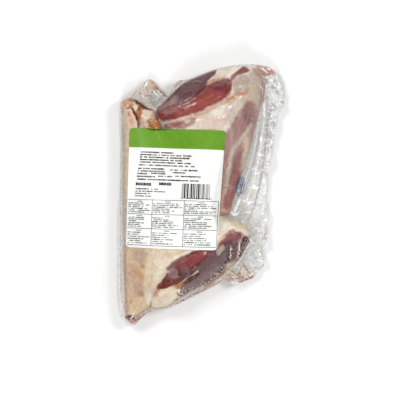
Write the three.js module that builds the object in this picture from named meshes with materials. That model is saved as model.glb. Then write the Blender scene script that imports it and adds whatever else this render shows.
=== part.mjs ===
// Two raw lamb shanks in a clear vacuum pack that lies flat, with a paper label stuck on its upper side.
//
// Millimetres, +Z up. The pack rests on z = 0 and its outline is centred on the Z axis. +Y runs along the
// pack's length, towards the head of the upper shank. Seen from above, the upper shank has its thick head at
// +Y, and the lower shank lies the other way round on its left, with its head at -Y and its hock at +Y.
//
// The pack is one solid: two sheets of film drawn tight over the meat, which meet in a thin wrinkled skirt
// at the height of the seam. Each sheet is a height over a triangular lattice, worked out from the outlines
// of the pack and of each shank, and then from named lumps, creases and wrinkles.

import * as THREE from "three";

// ---- Driving dimensions ----

const SEAM_HEIGHT = 11; // of the skirt where it leaves the meat
const SEAM_DROOP = 0.26; // how much the skirt sinks for each millimetre away from the meat
const SKIRT_LOWEST = 4.5; // where a wide skirt comes to hang level
const SKIRT_THICK = 1; // two sheets of crumpled film
const FILLET_HEIGHT = 7; // how far up the meat the film bridges to the skirt
const FILLET_REACH = 5; // and how far out from the meat
const BRIDGE = 11; // how softly the film spans the valley between the two shanks

const ROUNDNESS = 21; // height gained at once inside a shank's outline: larger is blunter
const TOP_SWELL = 1; // how steeply the meat rises towards its middle, above the seam
const UNDER_SWELL = 0.3; // and below it, down to the surface that the pack rests on
const EDGE_SOFTNESS = 3; // how far in from its outline the meat is still easing upwards
const HOCK_SHARE = 0.6; // plumpness of a shank's narrow end against its head
const TAPER = [-70, 90]; // where that plumpness grows, along Y towards the head

const LABEL_THICK = 0.5;
const LABEL_GAP = 0.6; // clear of the faceted film below it
const LABEL_CORNER = 4; // corner radius
const LABEL_STIFFNESS = 7; // how far out from its edges the paper still keeps the film smooth

const PACK_LATTICE = 4; // edge of a facet
const LABEL_LATTICE = 6;
const OUTLINE_STEP = 3; // between the points that a smooth outline is read at

// Outlines seen from above, as the few points that a smooth closed curve goes through.
const PACK_OUTLINE = [
  [-86, 95], [-86, 48], [-87, 2], [-89, -22], [-89, -67], [-89, -105], [-88, -120], [-85, -130], // left
  [-78, -138], [-71, -138], [-64, -131], [-55, -124], [-33, -119], [-10, -108], [16, -95], [25, -89], // foot
  [30, -92], [36, -96], [46, -91], [55, -88], [60, -81], [67, -74], // lower tail of film
  [64, -60], [71, -44], [67, -35], [72, -24], [69, -10], [71, 6], [70, 19], [74, 31], [76, 48], // right
  [77, 60], [80, 70], [81, 84], [88, 97], [86, 112], [81, 126], [74, 135],
  [62, 138], [40, 139], [13, 133], [-1, 128], [-13, 123], [-25, 121], [-31, 113], // head
  [-35, 106], [-42, 109], [-46, 115], [-50, 121], [-56, 123], [-64, 115], [-71, 109], [-76, 103], [-82, 101],
];

// Each shank with the way its thick head points along Y.
const SHANKS = [
  { head: 1, outline: [
    [-49, 90], [-40, 99], [-31, 109], [-21, 117], [0, 127], [14, 132], [27, 136], [41, 137], [54, 136],
    [62, 128], [66, 118], [66, 103], [63, 88], [59, 73], [54, 56], [49, 39], [42, 20], [37, 1], [33, -11],
    [28, -21], [19, -27], [7, -27], [-7, -18], [-17, -2], [-26, 16], [-36, 35], [-45, 54], [-51, 70],
    [-52, 82],
  ] },
  { head: -1, outline: [
    [-84, 92], [-81, 99], [-74, 102], [-66, 101], [-57, 97], [-49, 91], [-41, 82], [-31, 69], [-21, 50],
    [-13, 31], [-4, 14], [7, 0], [19, -10], [31, -18], [40, -24], [48, -32], [52, -40], [53, -47],
    [49, -56], [41, -66], [33, -76], [22, -85], [9, -93], [-4, -99], [-27, -112], [-37, -117], [-47, -119],
    [-54, -120], [-63, -126], [-71, -132], [-77, -130], [-80, -120], [-81, -100], [-82, -74], [-83, -42],
    [-84, -5], [-84, 37], [-84, 69],
  ] },
];

// Rounded rises on the upper side: middle, half lengths, the turn of the longer one in degrees, and height.
const LUMPS = [
  { name: "upper calf muscle", at: [-12, 103], half: [44, 15], turn: 23, rise: 6 },
  { name: "upper knuckle", at: [41, 116], half: [13, 11], turn: 60, rise: 6 },
  { name: "upper fat pad", at: [13, 76], half: [30, 11], turn: 8, rise: 2.5 },
  { name: "upper shin muscle", at: [53, 86], half: [15, 8], turn: 80, rise: 3.5 },
  { name: "upper shin bone", at: [41, 33], half: [44, 5], turn: 73, rise: 2.5 },
  { name: "lower fat cover", at: [-60, -78], half: [36, 18], turn: 88, rise: 3 },
  { name: "lower knob of fat", at: [-36, -106], half: [15, 11], turn: 22, rise: 7 },
  { name: "lower red muscle", at: [-20, -77], half: [30, 10], turn: 27, rise: 4 },
  { name: "lower grey muscle", at: [8, -70], half: [27, 11], turn: 40, rise: 4 },
  { name: "lower shoulder of fat", at: [34, -30], half: [16, 9], turn: -35, rise: 4 },
  { name: "hock end", at: [-74, 94], half: [11, 9], turn: 30, rise: 9 },
  { name: "hock joint", at: [-58, 82], half: [12, 8], turn: -30, rise: 7 },
  { name: "heel tendon", at: [-79, 66], half: [32, 5], turn: 88, rise: 4 },
];

// Valleys (depth over 0) and ridges (under 0) along a line on the upper side.
const CREASES = [
  { name: "edge of the calf muscle", depth: 3.4, width: 3.5,
    path: [[-46, 80], [-22, 81], [-1, 88], [15, 95], [29, 103], [40, 107]] },
  { name: "fork above the fat pocket", depth: 2.5, width: 3,
    path: [[8, 118], [20, 121], [33, 127], [44, 132]] },
  { name: "cleft of the hock", depth: 6, width: 3.5, path: [[-70, 100], [-62, 94], [-54, 89], [-47, 89]] },
  { name: "cleft beside the heel tendon", depth: 4, width: 3.5,
    path: [[-78, 91], [-71, 90], [-67, 81], [-64, 71]] },
  { name: "hollow of the hock", depth: 4, width: 3.5, path: [[-60, 71], [-50, 74], [-44, 71]] },
  { name: "groove beside the shin bone", depth: 2.5, width: 3.5, path: [[32, 62], [30, 35], [27, -6]] },
  { name: "fold in the fat cover", depth: -3, width: 4.5, path: [[-38, -60], [-43, -80], [-50, -100]] },
  { name: "notch beside the knob", depth: 5, width: 3, path: [[-52, -106], [-53, -119]] },
  { name: "edge of the red muscle", depth: 2.5, width: 2.5,
    path: [[-42, -99], [-22, -92], [-7, -82], [9, -66], [16, -56]] },
  { name: "edge of the grey muscle", depth: 4, width: 3,
    path: [[30, -51], [29, -64], [22, -75], [4, -89], [-12, -100]] },
  { name: "first tuck of film", depth: -2.5, width: 2.5, path: [[37, -50], [35, -72]] },
  { name: "second tuck of film", depth: -2, width: 2.5, path: [[45, -47], [38, -70]] },
  { name: "corner tuck", depth: -3, width: 3, path: [[60, 130], [65, 118], [66, 98], [64, 86]] },
];

// Corners of the label seen from above, from the upper left one clockwise.
const LABEL_CORNERS = [[-75.5, 71], [25.5, 67.2], [16.2, -57.9], [-79.4, -54.7]];

// ---- Plane geometry ----

// A smooth closed curve through the points, as straight steps.
function smoothOutline(points) {
  const curve = new THREE.CatmullRomCurve3(
    points.map(([x, y]) => new THREE.Vector3(x, y, 0)),
    true,
    "centripetal",
  );
  const count = Math.round(curve.getLength() / OUTLINE_STEP);
  return curve.getSpacedPoints(count).slice(0, -1).map((p) => [p.x, p.y]);
}

// A four-sided outline with its corners cut by arcs of the given radius.
function roundedOutline(corners, radius) {
  const shape = new THREE.Shape();
  corners.forEach((corner, i) => {
    const here = new THREE.Vector2(...corner);
    const before = new THREE.Vector2(...corners.at(i - 1));
    const after = new THREE.Vector2(...corners[(i + 1) % corners.length]);
    const from = before.sub(here).setLength(radius).add(here);
    const to = after.sub(here).setLength(radius).add(here);
    if (i === 0) shape.moveTo(from.x, from.y);
    else shape.lineTo(from.x, from.y);
    shape.quadraticCurveTo(here.x, here.y, to.x, to.y);
  });
  shape.closePath();
  return shape.getPoints(4).slice(0, -1).map((p) => [p.x, p.y]);
}

function isInside(outline, x, y) {
  let inside = false;
  outline.forEach(([ax, ay], i) => {
    const [bx, by] = outline.at(i - 1);
    if (ay > y !== by > y && x < ((bx - ax) * (y - ay)) / (by - ay) + ax) inside = !inside;
  });
  return inside;
}

// The nearest point on a line of points, and how far it is.
function nearestOn(path, x, y, closed) {
  let best = { distance: Infinity };
  for (let i = closed ? 0 : 1; i < path.length; i++) {
    const [ax, ay] = path.at(i - 1);
    const [bx, by] = path[i];
    const [dx, dy] = [bx - ax, by - ay];
    const share = THREE.MathUtils.clamp(((x - ax) * dx + (y - ay) * dy) / (dx * dx + dy * dy), 0, 1);
    const point = [ax + share * dx, ay + share * dy];
    const distance = Math.hypot(x - point[0], y - point[1]);
    if (distance < best.distance) best = { distance, point };
  }
  return best;
}

// How deep a point lies inside an outline. Near the edge it is the distance to it, and it has no ridge in
// the middle, because every stretch of the outline counts by the inverse cube of its distance.
function softDepth(outline, x, y) {
  const weight = ([ax, ay]) => OUTLINE_STEP / Math.hypot(x - ax, y - ay, 0.5) ** 3;
  return Math.sqrt(2 / outline.reduce((sum, point) => sum + weight(point), 0));
}

// The larger of two heights, rounded where they are within reach of each other.
function softMax(a, b, reach) {
  const near = Math.max(reach - Math.abs(a - b), 0) / reach;
  return Math.max(a, b) + near * near * reach * 0.25;
}

// ---- Heights of the two sheets of film ----

const pack = smoothOutline(PACK_OUTLINE);
const shanks = SHANKS.map(({ head, outline }) => ({ head, outline: smoothOutline(outline) }));
const paper = roundedOutline(LABEL_CORNERS, LABEL_CORNER);

// How far the paper smooths the film at a point: 1 under the label, and 0 well clear of it.
function paperShare(x, y) {
  if (isInside(paper, x, y)) return 1;
  const { distance } = nearestOn(paper, x, y, true);
  return THREE.MathUtils.smoothstep(LABEL_STIFFNESS - distance, 0, LABEL_STIFFNESS);
}

// Height of one shank's body over the seam, before its lumps and creases.
function dome({ head, outline }, x, y, swell) {
  if (!isInside(outline, x, y)) return 0;
  const inward = softDepth(outline, x, y);
  const depth = (inward * inward) / (inward + EDGE_SOFTNESS);
  const plumpness = THREE.MathUtils.lerp(HOCK_SHARE, 1, THREE.MathUtils.smoothstep(head * y, ...TAPER));
  return plumpness * Math.sqrt(depth * (ROUNDNESS + swell * depth));
}

function lumpsAt(x, y) {
  return LUMPS.reduce((total, { at, half, turn, rise }) => {
    const angle = THREE.MathUtils.degToRad(turn);
    const [dx, dy] = [x - at[0], y - at[1]];
    const along = (dx * Math.cos(angle) + dy * Math.sin(angle)) / half[0];
    const across = (dy * Math.cos(angle) - dx * Math.sin(angle)) / half[1];
    return total + rise * Math.exp(-1.2 * (along * along + across * across));
  }, 0);
}

function creasesAt(x, y) {
  return CREASES.reduce((total, { path, depth, width }) => {
    const away = nearestOn(path, x, y, false).distance / width;
    return total - depth * Math.exp(-away * away);
  }, 0);
}

// Wrinkles of the free film, which run across the skirt and grow towards its rim.
function wrinkle(x, y, fromMeat) {
  const growth = Math.min(fromMeat / 12, 1);
  const waves = 1.2 * Math.sin(0.36 * y + 1.7 * Math.sin(0.11 * x)) + 0.6 * Math.sin(0.57 * y - 0.3 * x);
  return growth * (waves + 0.7 * Math.sin(0.5 * x + 0.24 * y));
}

// What both sheets share at a point: the height of the seam, and how near the meat and the rim are.
function seamAt(x, y) {
  const inMeat = shanks.some(({ outline }) => isInside(outline, x, y));
  const distances = shanks.map(({ outline }) => nearestOn(outline, x, y, true).distance);
  const fromMeat = inMeat ? 0 : Math.min(...distances);
  const fromRim = nearestOn(pack, x, y, true).distance;
  const droop = SEAM_DROOP * fromMeat;
  const middle = softMax(SEAM_HEIGHT - droop, SKIRT_LOWEST, 3) + wrinkle(x, y, fromMeat);
  const nearness = inMeat ? 1 : fromRim / (fromRim + fromMeat);
  const fillet = FILLET_HEIGHT * nearness * nearness * Math.exp(-((fromMeat / FILLET_REACH) ** 2));
  return { inMeat, fromRim, middle, fillet };
}

function topHeight(x, y) {
  const { inMeat, fromRim, middle, fillet } = seamAt(x, y);
  const [a, b] = shanks.map((shank) => dome(shank, x, y, TOP_SWELL));
  const smoothed = paperShare(x, y);
  const body = softMax(a, b, Math.min(BRIDGE + 26 * smoothed, a + b) + 0.01);
  const detail = (lumpsAt(x, y) + creasesAt(x, y)) * Math.min((inMeat ? fromRim : 0.5 * fromRim) / 8, 1);
  return middle + SKIRT_THICK / 2 + Math.max(softMax(body + detail * (1 - smoothed), fillet, 4), 0);
}

function underHeight(x, y) {
  const { middle, fillet } = seamAt(x, y);
  const body = Math.max(...shanks.map((shank) => dome(shank, x, y, UNDER_SWELL)));
  return Math.max(middle - SKIRT_THICK / 2 - softMax(body, fillet, 4), 0);
}

// ---- Solids between two sheets ----

// A triangular lattice, in lines along Y, fitted to an outline: wherever a lattice edge crosses the outline,
// its nearer end is moved onto it. Points close to one of the bends are moved onto that. Returns the points,
// and the triangles inside as three places in the list of points.
function fittedLattice(outline, spacing, bends = []) {
  const box = new THREE.Box2().setFromPoints(outline.map((p) => new THREE.Vector2(...p)));
  box.expandByScalar(spacing);
  const lineGap = (spacing * Math.sqrt(3)) / 2;
  const lines = Math.ceil((box.max.x - box.min.x) / lineGap) + 1;
  const steps = Math.ceil((box.max.y - box.min.y) / spacing) + 1;
  const points = [];
  for (let line = 0; line < lines; line++)
    for (let step = 0; step < steps; step++) {
      const x = box.min.x + line * lineGap;
      const y = box.min.y + (step + (line % 2) / 2) * spacing;
      const nearest = nearestOn(outline, x, y, true);
      points.push({ x, y, inside: isInside(outline, x, y), nearest, rim: false });
    }
  const cells = [];
  for (let line = 0; line + 1 < lines; line++)
    for (let step = 0; step + 1 < steps; step++) {
      const a = line * steps + step;
      const [b, c, d] = [a + 1, a + steps, a + steps + 1];
      cells.push(...(line % 2 ? [[a, d, b], [a, c, d]] : [[a, c, b], [b, c, d]]));
    }
  for (const cell of cells)
    cell.forEach((i, corner) => {
      const [p, q] = [points[i], points[cell.at(corner - 1)]];
      if (p.inside === q.inside) return;
      (p.nearest.distance < q.nearest.distance ? p : q).rim = true;
    });
  for (const p of points) {
    const nearBends = bends.map((path) => nearestOn(path, p.x, p.y, true));
    const [bend] = nearBends.sort((a, b) => a.distance - b.distance);
    if (p.rim) [p.x, p.y] = p.nearest.point;
    else if (bend?.distance < 0.42 * spacing && p.nearest.distance > 0.8 * spacing) [p.x, p.y] = bend.point;
  }
  const isKept = (cell) => {
    const corners = cell.map((i) => points[i]);
    if (!corners.every((p) => p.inside || p.rim)) return false;
    const middle = (axis) => corners.reduce((sum, p) => sum + p[axis], 0) / 3;
    return corners.some((p) => !p.rim) || isInside(outline, middle("x"), middle("y"));
  };
  return { points, kept: cells.filter(isKept) };
}

// The closed solid between two heights over a lattice. The faces of the lower sheet are turned over, and a
// band of faces joins the sheets along the rim.
function solidBetween({ points, kept }, upper, lower) {
  const used = [...new Set(kept.flat())];
  const place = new Map(used.map((i, order) => [i, order]));
  const sheet = (height) => used.flatMap((i) => [points[i].x, points[i].y, height(points[i].x, points[i].y)]);
  const under = used.length;
  const faces = kept.flatMap((cell) => {
    const [a, b, c] = cell.map((i) => place.get(i));
    return [a, b, c, under + c, under + b, under + a];
  });
  const open = new Map();
  for (const cell of kept)
    cell.forEach((i, corner) => {
      const [from, to] = [i, cell[(corner + 1) % 3]];
      if (!open.delete(`${to},${from}`)) open.set(`${from},${to}`, [place.get(from), place.get(to)]);
    });
  for (const [a, b] of open.values()) faces.push(a, under + a, b, b, under + a, under + b);
  const geometry = new THREE.BufferGeometry();
  geometry.setAttribute("position", new THREE.Float32BufferAttribute([...sheet(upper), ...sheet(lower)], 3));
  geometry.setIndex(faces);
  geometry.computeVertexNormals();
  return geometry;
}

// ---- The two pieces ----

function vacuumBag() {
  const material = new THREE.MeshStandardMaterial({ color: 0xb78a80, roughness: 0.3, metalness: 0 });
  const lattice = fittedLattice(pack, PACK_LATTICE, shanks.map(({ outline }) => outline));
  const mesh = new THREE.Mesh(solidBetween(lattice, topHeight, underHeight), material);
  mesh.name = "vacuum_bag";
  return mesh;
}

function label() {
  const under = (x, y) => topHeight(x, y) + LABEL_GAP;
  const upper = (x, y) => under(x, y) + LABEL_THICK;
  const material = new THREE.MeshStandardMaterial({ color: 0xf3f4f1, roughness: 0.55, metalness: 0 });
  const mesh = new THREE.Mesh(solidBetween(fittedLattice(paper, LABEL_LATTICE), upper, under), material);
  mesh.name = "label";
  return mesh;
}

const group = new THREE.Group();
group.add(vacuumBag(), label());

// The outlines are drawn about a point near the pack's middle, so the whole is moved to centre it exactly.
const middle = new THREE.Box3().setFromObject(group, true).getCenter(new THREE.Vector3());
group.position.set(-middle.x, -middle.y, 0);

export default group;
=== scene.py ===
"""Two raw lamb shanks in a clear vacuum bag, with a paper label, lying flat on a pale floor.

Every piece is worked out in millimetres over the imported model, which gives the height of the film above
and below each point of the plan, and then put in metres. +Y runs towards the top of the label.
"""

import math
from functools import lru_cache

import bpy
import numpy as np
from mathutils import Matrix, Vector
from mathutils.bvhtree import BVHTree
from mathutils.geometry import delaunay_2d_cdt
from mathutils.kdtree import KDTree


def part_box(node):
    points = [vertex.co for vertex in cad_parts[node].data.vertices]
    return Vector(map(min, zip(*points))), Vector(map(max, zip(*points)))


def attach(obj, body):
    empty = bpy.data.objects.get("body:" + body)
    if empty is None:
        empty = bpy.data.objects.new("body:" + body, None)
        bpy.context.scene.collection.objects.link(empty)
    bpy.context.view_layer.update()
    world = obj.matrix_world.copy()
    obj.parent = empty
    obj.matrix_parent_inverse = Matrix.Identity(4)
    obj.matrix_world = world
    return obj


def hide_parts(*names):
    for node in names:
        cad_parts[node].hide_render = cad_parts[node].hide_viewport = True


bl_info = {
    "name": "Vacuum-packed lamb shanks",
    "version": (1, 0, 0),
    "blender": (4, 5, 0),
    "location": "View3D > Sidebar > Lamb pack",
    "description": "Builds two raw lamb shanks in a clear vacuum bag with a paper label",
    "category": "Add Mesh",
}

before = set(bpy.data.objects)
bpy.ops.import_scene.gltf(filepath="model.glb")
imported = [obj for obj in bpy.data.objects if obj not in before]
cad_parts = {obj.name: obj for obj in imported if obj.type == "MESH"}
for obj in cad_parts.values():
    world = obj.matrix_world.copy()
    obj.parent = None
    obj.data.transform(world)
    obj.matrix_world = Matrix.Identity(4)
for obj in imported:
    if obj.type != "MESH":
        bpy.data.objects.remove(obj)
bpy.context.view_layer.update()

MM = 0.001
BAG_NODE, LABEL_NODE, BODY = "vacuum_bag", "label", "root"

# ---- Outlines seen from above, in millimetres ----

BAG_OUTLINE = [  # the few points that the edge of the bag goes through
    (-86, 95), (-86, 48), (-87, 2), (-89, -22), (-89, -67), (-89, -105), (-88, -120), (-85, -130),
    (-78, -138), (-71, -138), (-64, -131), (-55, -124), (-33, -119), (-10, -108), (16, -95), (25, -89),
    (30, -92), (36, -96), (46, -91), (55, -88), (60, -81), (67, -74), (64, -60), (71, -44), (67, -35),
    (72, -24), (69, -10), (71, 6), (70, 19), (74, 31), (76, 48), (77, 60), (80, 70), (81, 84), (88, 97),
    (86, 112), (81, 126), (74, 135), (62, 138), (40, 139), (13, 133), (-1, 128), (-13, 123), (-25, 121),
    (-31, 113), (-35, 106), (-42, 109), (-46, 115), (-50, 121), (-56, 123), (-64, 115), (-71, 109),
    (-76, 103), (-82, 101)]
OUTLINE_SHIFT = (0.555, -0.413)  # of the bag's and label's points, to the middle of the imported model
LABEL_CORNERS = [(-75.5, 71), (25.5, 67.2), (16.2, -57.9), (-79.4, -54.7)]
LABEL_RADIUS = 4

UPPER_OUTLINE = [
    (-48.4, 89.9), (-39.9, 98.4), (-30.4, 109), (-20.9, 116.9), (-13.4, 121.2), (0.3, 127),
    (14.1, 132.3), (27.9, 136), (41.7, 137.1), (53.3, 136), (61.8, 132.3), (66.1, 124.9), (67.1, 109),
    (63.9, 89.9), (59.7, 71.9), (55.5, 56), (50.2, 39), (44.9, 22.1), (39.6, 7.2), (35.3, -8.7),
    (32.1, -18.2), (27.9, -23), (21.5, -24.1), (9.9, -20.3), (-0.7, -10.8), (-8.1, 1.9), (-16.6, 18.9),
    (-25.1, 39), (-32.5, 58.1), (-39.9, 70.8), (-46.3, 80.4)]
LOWER_OUTLINE = [
    (-83.9, 96.3), (-81.8, 101), (-76, 102.6), (-69.6, 102.6), (-61.1, 99.4), (-53.7, 94.7),
    (-47.4, 89.9), (-43.1, 81.4), (-38.9, 68.7), (-32.5, 51.7), (-25.1, 32.7), (-15.6, 12.5),
    (-3.9, -5.5), (9.9, -17.2), (21.5, -20.3), (33.2, -23.5), (42.7, -27.8), (50.2, -34.1),
    (53.3, -42.6), (52.3, -52.1), (47, -62.7), (39.6, -71.2), (31.1, -78.6), (20.5, -86.1),
    (7.8, -94.5), (-6, -100.9), (-16.6, -107.3), (-26.2, -113.6), (-36.8, -120), (-46.3, -121.6),
    (-53.7, -121), (-61.1, -125.3), (-68.6, -131.6), (-73.9, -134.3), (-79.2, -130.6), (-80.8, -120),
    (-81.3, -100.9), (-82.3, -79.7), (-82.9, -47.9), (-83.4, -5.5), (-83.4, 36.9), (-83.9, 68.7)]

# ---- Tissue seen from above ----
# A patch is its name, colour, softness and waviness of its edge, strength, direction of its fibres in
# degrees, height and outline, as x and y in turn. Later patches lie over earlier ones. All lengths are
# in millimetres.

UPPER_PATCHES = [
    ("pale cover of the knuckle end", "membrane", 3, 1.2, 1, None, 0,
     "26.8 100.5 37.4 107.9 45.9 109 50.2 115.3 50.2 128.1 58.6 134.4 67.1 125.9 67.1 109 65 87.8 "
     "58.6 75.1 52.3 87.8 45.9 96.3 37.4 94.1 29 92"),
    ("yellow edge of the knuckle end", "fat_yellow", 3, 1.2, 0.45, None, 0,
     "41.7 106.9 50.2 113.2 53.3 121.7 56.5 113.2 54.4 100.5 48 96.3 39.6 100.5"),
    ("broad fat", "fat_white", 3, 1.2, 1, None, 0.2,
     "-34.6 69.8 -15.6 76.1 1.4 82.5 18.4 89.9 31.1 96.3 41.7 99.4 41.7 92 35.3 81.4 30 68.7 23.7 58.1 "
     "-11.3 51.7 -34.6 56"),
    ("shin", "muscle_mauve", 2.5, 1.2, 1, 73, 0,
     "32.1 76.1 39.6 86.7 47 96.3 54.4 98.4 59.7 89.9 59.7 77.2 56.5 60.2 54.4 47.5 50.2 31.6 44.9 15.7 "
     "39.6 4 35.3 -8.7 30 -20.3 18.4 -20.3 14.1 -5.5 14.1 36.9 22.6 62.3 29 68.7"),
    ("head of the shin", "muscle_brown", 3, 1.4, 0.75, 73, 0.3,
     "42.7 93.1 48 97.3 53.3 96.3 56.9 87.8 56.5 78.2 52.3 71.3 48 74 44.9 83.5"),
    ("outer shin muscle", "muscle_brown", 2.6, 1.6, 0.3, 73, 0.2,
     "50.2 62.3 51.2 50.7 48 34.8 43.8 19.9 39.6 7.2 34.3 -1.3 30.7 3 32.1 19.9 34.3 36.9 41.7 49.6"),
    ("dark of the outer shin", "muscle_brown", 2, 1.4, 0.65, 73, 0.1,
     "41.7 45.4 44.9 41.1 41.7 30.5 36.4 24.2 32.8 26.3 34.3 36.9"),
    ("second dark of the outer shin", "muscle_red", 2, 1.4, 0.4, 73, 0.1,
     "34.3 25.2 39.6 26.3 40.6 17.8 35.3 9.3 30.7 11.5"),
    ("pink of the inner shin", "muscle_mauve", 2.2, 1.2, 0.6, 73, 0.1,
     "24.7 64.5 30 64.5 30.4 47.5 27.9 32.7 24.7 30.5"),
    ("lower shin muscle", "muscle_red", 1.6, 0.9, 0.45, 73, 0.1,
     "26.4 4 31.1 6.2 35.3 4 33.6 -5.5 30 -14 25.8 -15 24.7 -5.5"),
    ("shin end", "fat_pink", 1.6, 0.7, 0.9, None, 0,
     "19.4 -16.1 25.8 -15.6 31.1 -16.1 35.3 -19.3 32.1 -24.6 22.6 -24.6 17.3 -21.4"),
    ("pink muscle under the fold", "muscle_mauve", 1.6, 0.8, 0.95, 25, 0,
     "-37.8 75.6 -26.2 76.7 -15.6 78.8 -9.2 80.9 -3.9 79.3 -6 74 -14.5 69.8 -26.2 68.7 -38.9 70.8"),
    ("core of the pink muscle", "muscle_red", 1.8, 0.8, 0.7, 25, 0,
     "-30.4 75.1 -23 76.1 -19.8 74 -24 71.3 -30.4 71.9"),
    ("pale spot of the pink muscle", "fat_white", 1.2, 0.5, 0.6, None, 0.2,
     "-16.6 78.2 -12.4 79.8 -10.3 77.7 -13.4 75.1 -16.6 75.6"),
    ("pink flush of the fat", "fat_pink", 5, 2, 0.4, None, 0,
     "-0.7 79.3 14.1 82.5 22.6 77.2 20.5 64.5 5.6 62.3 -2.8 68.7"),
    ("grey flush of the fat", "membrane", 5, 2, 0.7, None, 0,
     "29 96.3 39.6 100.5 44.9 96.3 39.6 85.7 31.1 75.1 24.7 79.3"),
    ("calf lobe", "muscle_dark", 1.1, 0.5, 1, 25, 0.5,
     "-49.5 89.4 -43.1 96.8 -34.6 105.3 -26.2 113.8 -16.6 121.2 -6 125.9 4.6 130.7 13.1 133.4 18.4 133.4 "
     "16.2 127.5 12 122.8 7.8 117.5 6.7 109 -0.7 103.7 -9.2 99.4 -17.7 94.7 -26.2 90.4 -34.6 87.2 -41 84.1 "
     "-47.4 83.5"),
    ("pale end of the calf lobe", "muscle_mauve", 3.5, 1.2, 0.6, 25, 0,
     "-47.4 89.9 -42.1 95.7 -34.6 100.5 -27.2 102.6 -20.9 99.4 -26.2 94.1 -34.6 91.5 -43.1 87.8"),
    ("shade of the calf lobe", "muscle_deep", 3, 1, 0.35, 25, 0,
     "-5 121.7 5.6 125.9 14.1 129.1 9.9 121.7 4.6 114.3 -2.8 111.1 -11.3 107.9 -13.4 113.2"),
    ("inner muscle", "muscle_red", 1.5, 0.5, 1, 25, 0.2,
     "-47.4 84.6 -41 87.8 -32.5 90.4 -24 93.6 -15.6 97.8 -8.1 102.1 -0.7 107.4 4.6 111.6 6.7 116.4 "
     "13.1 119.6 21.5 121.7 30 122.2 32.7 117.5 32.1 110 29.5 104.7 24.7 100 17.3 95.7 8.8 91.5 -0.7 86.7 "
     "-11.3 83 -21.9 80.4 -32.5 77.7 -39.9 77.7 -45.2 80.4"),
    # Painted light on one face of the inner muscle.
    ("painted light on the face of the inner muscle", "muscle_red_lit", 3, 1.5, 0.85, 25, 0,
     "-5 101.6 5.6 105.8 14.1 106.9 22.6 102.6 17.3 97.3 7.8 93.1 -1.8 88.8 -12.4 85.7 -24 82.5 "
     "-32.5 81.4 -24 87.8 -13.4 94.1"),
    # Painted shade on the other face of the inner muscle.
    ("painted shade on the face of the inner muscle", "muscle_deep", 2.2, 1.5, 0.62, 115, 0.1,
     "10.9 117.5 19.4 120.1 29 120.6 31.6 115.3 30 107.9 23.7 105.8 17.3 110 10.9 111.1 5.6 112.2"),
    ("dark end of the inner muscle", "muscle_deep", 2, 1, 0.45, 25, 0,
     "-46.3 84.6 -39.9 86.2 -31.5 85.7 -25.1 82.5 -31.5 78.8 -39.9 78.8 -44.2 80.9"),
    ("glaze on the inner muscle", "glaze", 2.2, 1.2, 0.42, 25, 0.2,
     "-39.9 86.7 -32.5 91.5 -23 96.8 -13.4 102.1 -5 105.8 -9.2 99.4 -17.7 93.1 -27.2 87.8 -35.7 84.1"),
    ("fat pocket", "fat_white", 1, 0.5, 1, None, 0.8,
     "17.8 133.4 24.7 136 33.2 137.1 40.6 137.6 39.6 133.9 35.3 129.6 31.1 124.9 23.7 122.2 14.1 120.1 "
     "8.8 117.5 7.2 118.5 11.5 122.8 16.2 127.5"),
    ("rusty fringe of the fat pocket", "fascia", 0.8, 0.6, 0.75, None, 0.2,
     "5.1 115.9 8.3 119.4 14.1 121.7 20.5 123.2 25.8 123.5 22.6 121.1 16.2 119.4 9.9 116.6"),
    ("upper streak", "muscle_red", 1, 0.5, 0.95, 50, 0,
     "30.6 121.2 33.2 125.9 37.4 130.2 41.7 133.4 44.9 135.5 50.2 133.9 51.8 131.2 48 128.1 42.7 127 "
     "38.5 124.3 34.8 120.1 32.1 116.4"),
    ("dark heart of the upper streak", "muscle_deep", 1.5, 0.6, 0.6, 50, 0,
     "39.6 130.7 44.9 133.4 49.1 132.3 47 129.1 41.7 128.1"),
    ("knuckle", "bone", 1.6, 0.6, 0.95, None, 0.6,
     "33.7 117.5 38 123.3 42.7 125.9 48.6 125.9 51.2 121.7 51.2 113.2 48.6 107.4 42.7 105.3 36.4 105.3 "
     "33.7 110"),
    ("rusty band under the inner muscle", "fascia", 1.3, 0.7, 0.65, 25, 0.1,
     "-32.5 76.1 -21.9 78.2 -11.3 81.4 -0.7 85.7 8.8 89.9 17.3 94.1 24.7 98.9 31.1 103.1 37.4 106.3 "
     "44.9 106.9 49.1 108.4 48 104.7 39.6 102.1 32.1 98.9 24.7 94.1 14.1 88.8 3.5 84.1 -9.2 79.8 -20.9 76.7 "
     "-30.4 75.1"),
    ("outer corner", "fat_pink", 2, 1, 0.75, None, 0,
     "56.5 136.5 65 134.4 71.4 123.8 67.1 115.3 60.8 123.8 55.5 130.2"),
    ("pink end of the fat pocket", "fat_pink", 2, 1, 0.45, None, 0,
     "12 123.8 16.2 128.1 20.5 125.9 18.4 121.7 12 119.6"),
    ("veil on the end of the calf lobe", "glaze", 2.6, 1.4, 0.4, 25, 0.1,
     "-45.2 91 -39.9 96.3 -32.5 100.5 -25.1 102.6 -26.2 97.3 -33.6 92 -41 87.8"),
    ("tan flush beside the outer shin", "fat_cream", 2.4, 1.2, 0.6, 73, 0.1,
     "45.9 64.5 51.2 58.1 51.2 41.1 47 28.4 42.7 26.3 44.9 43.3"),
]
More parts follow.
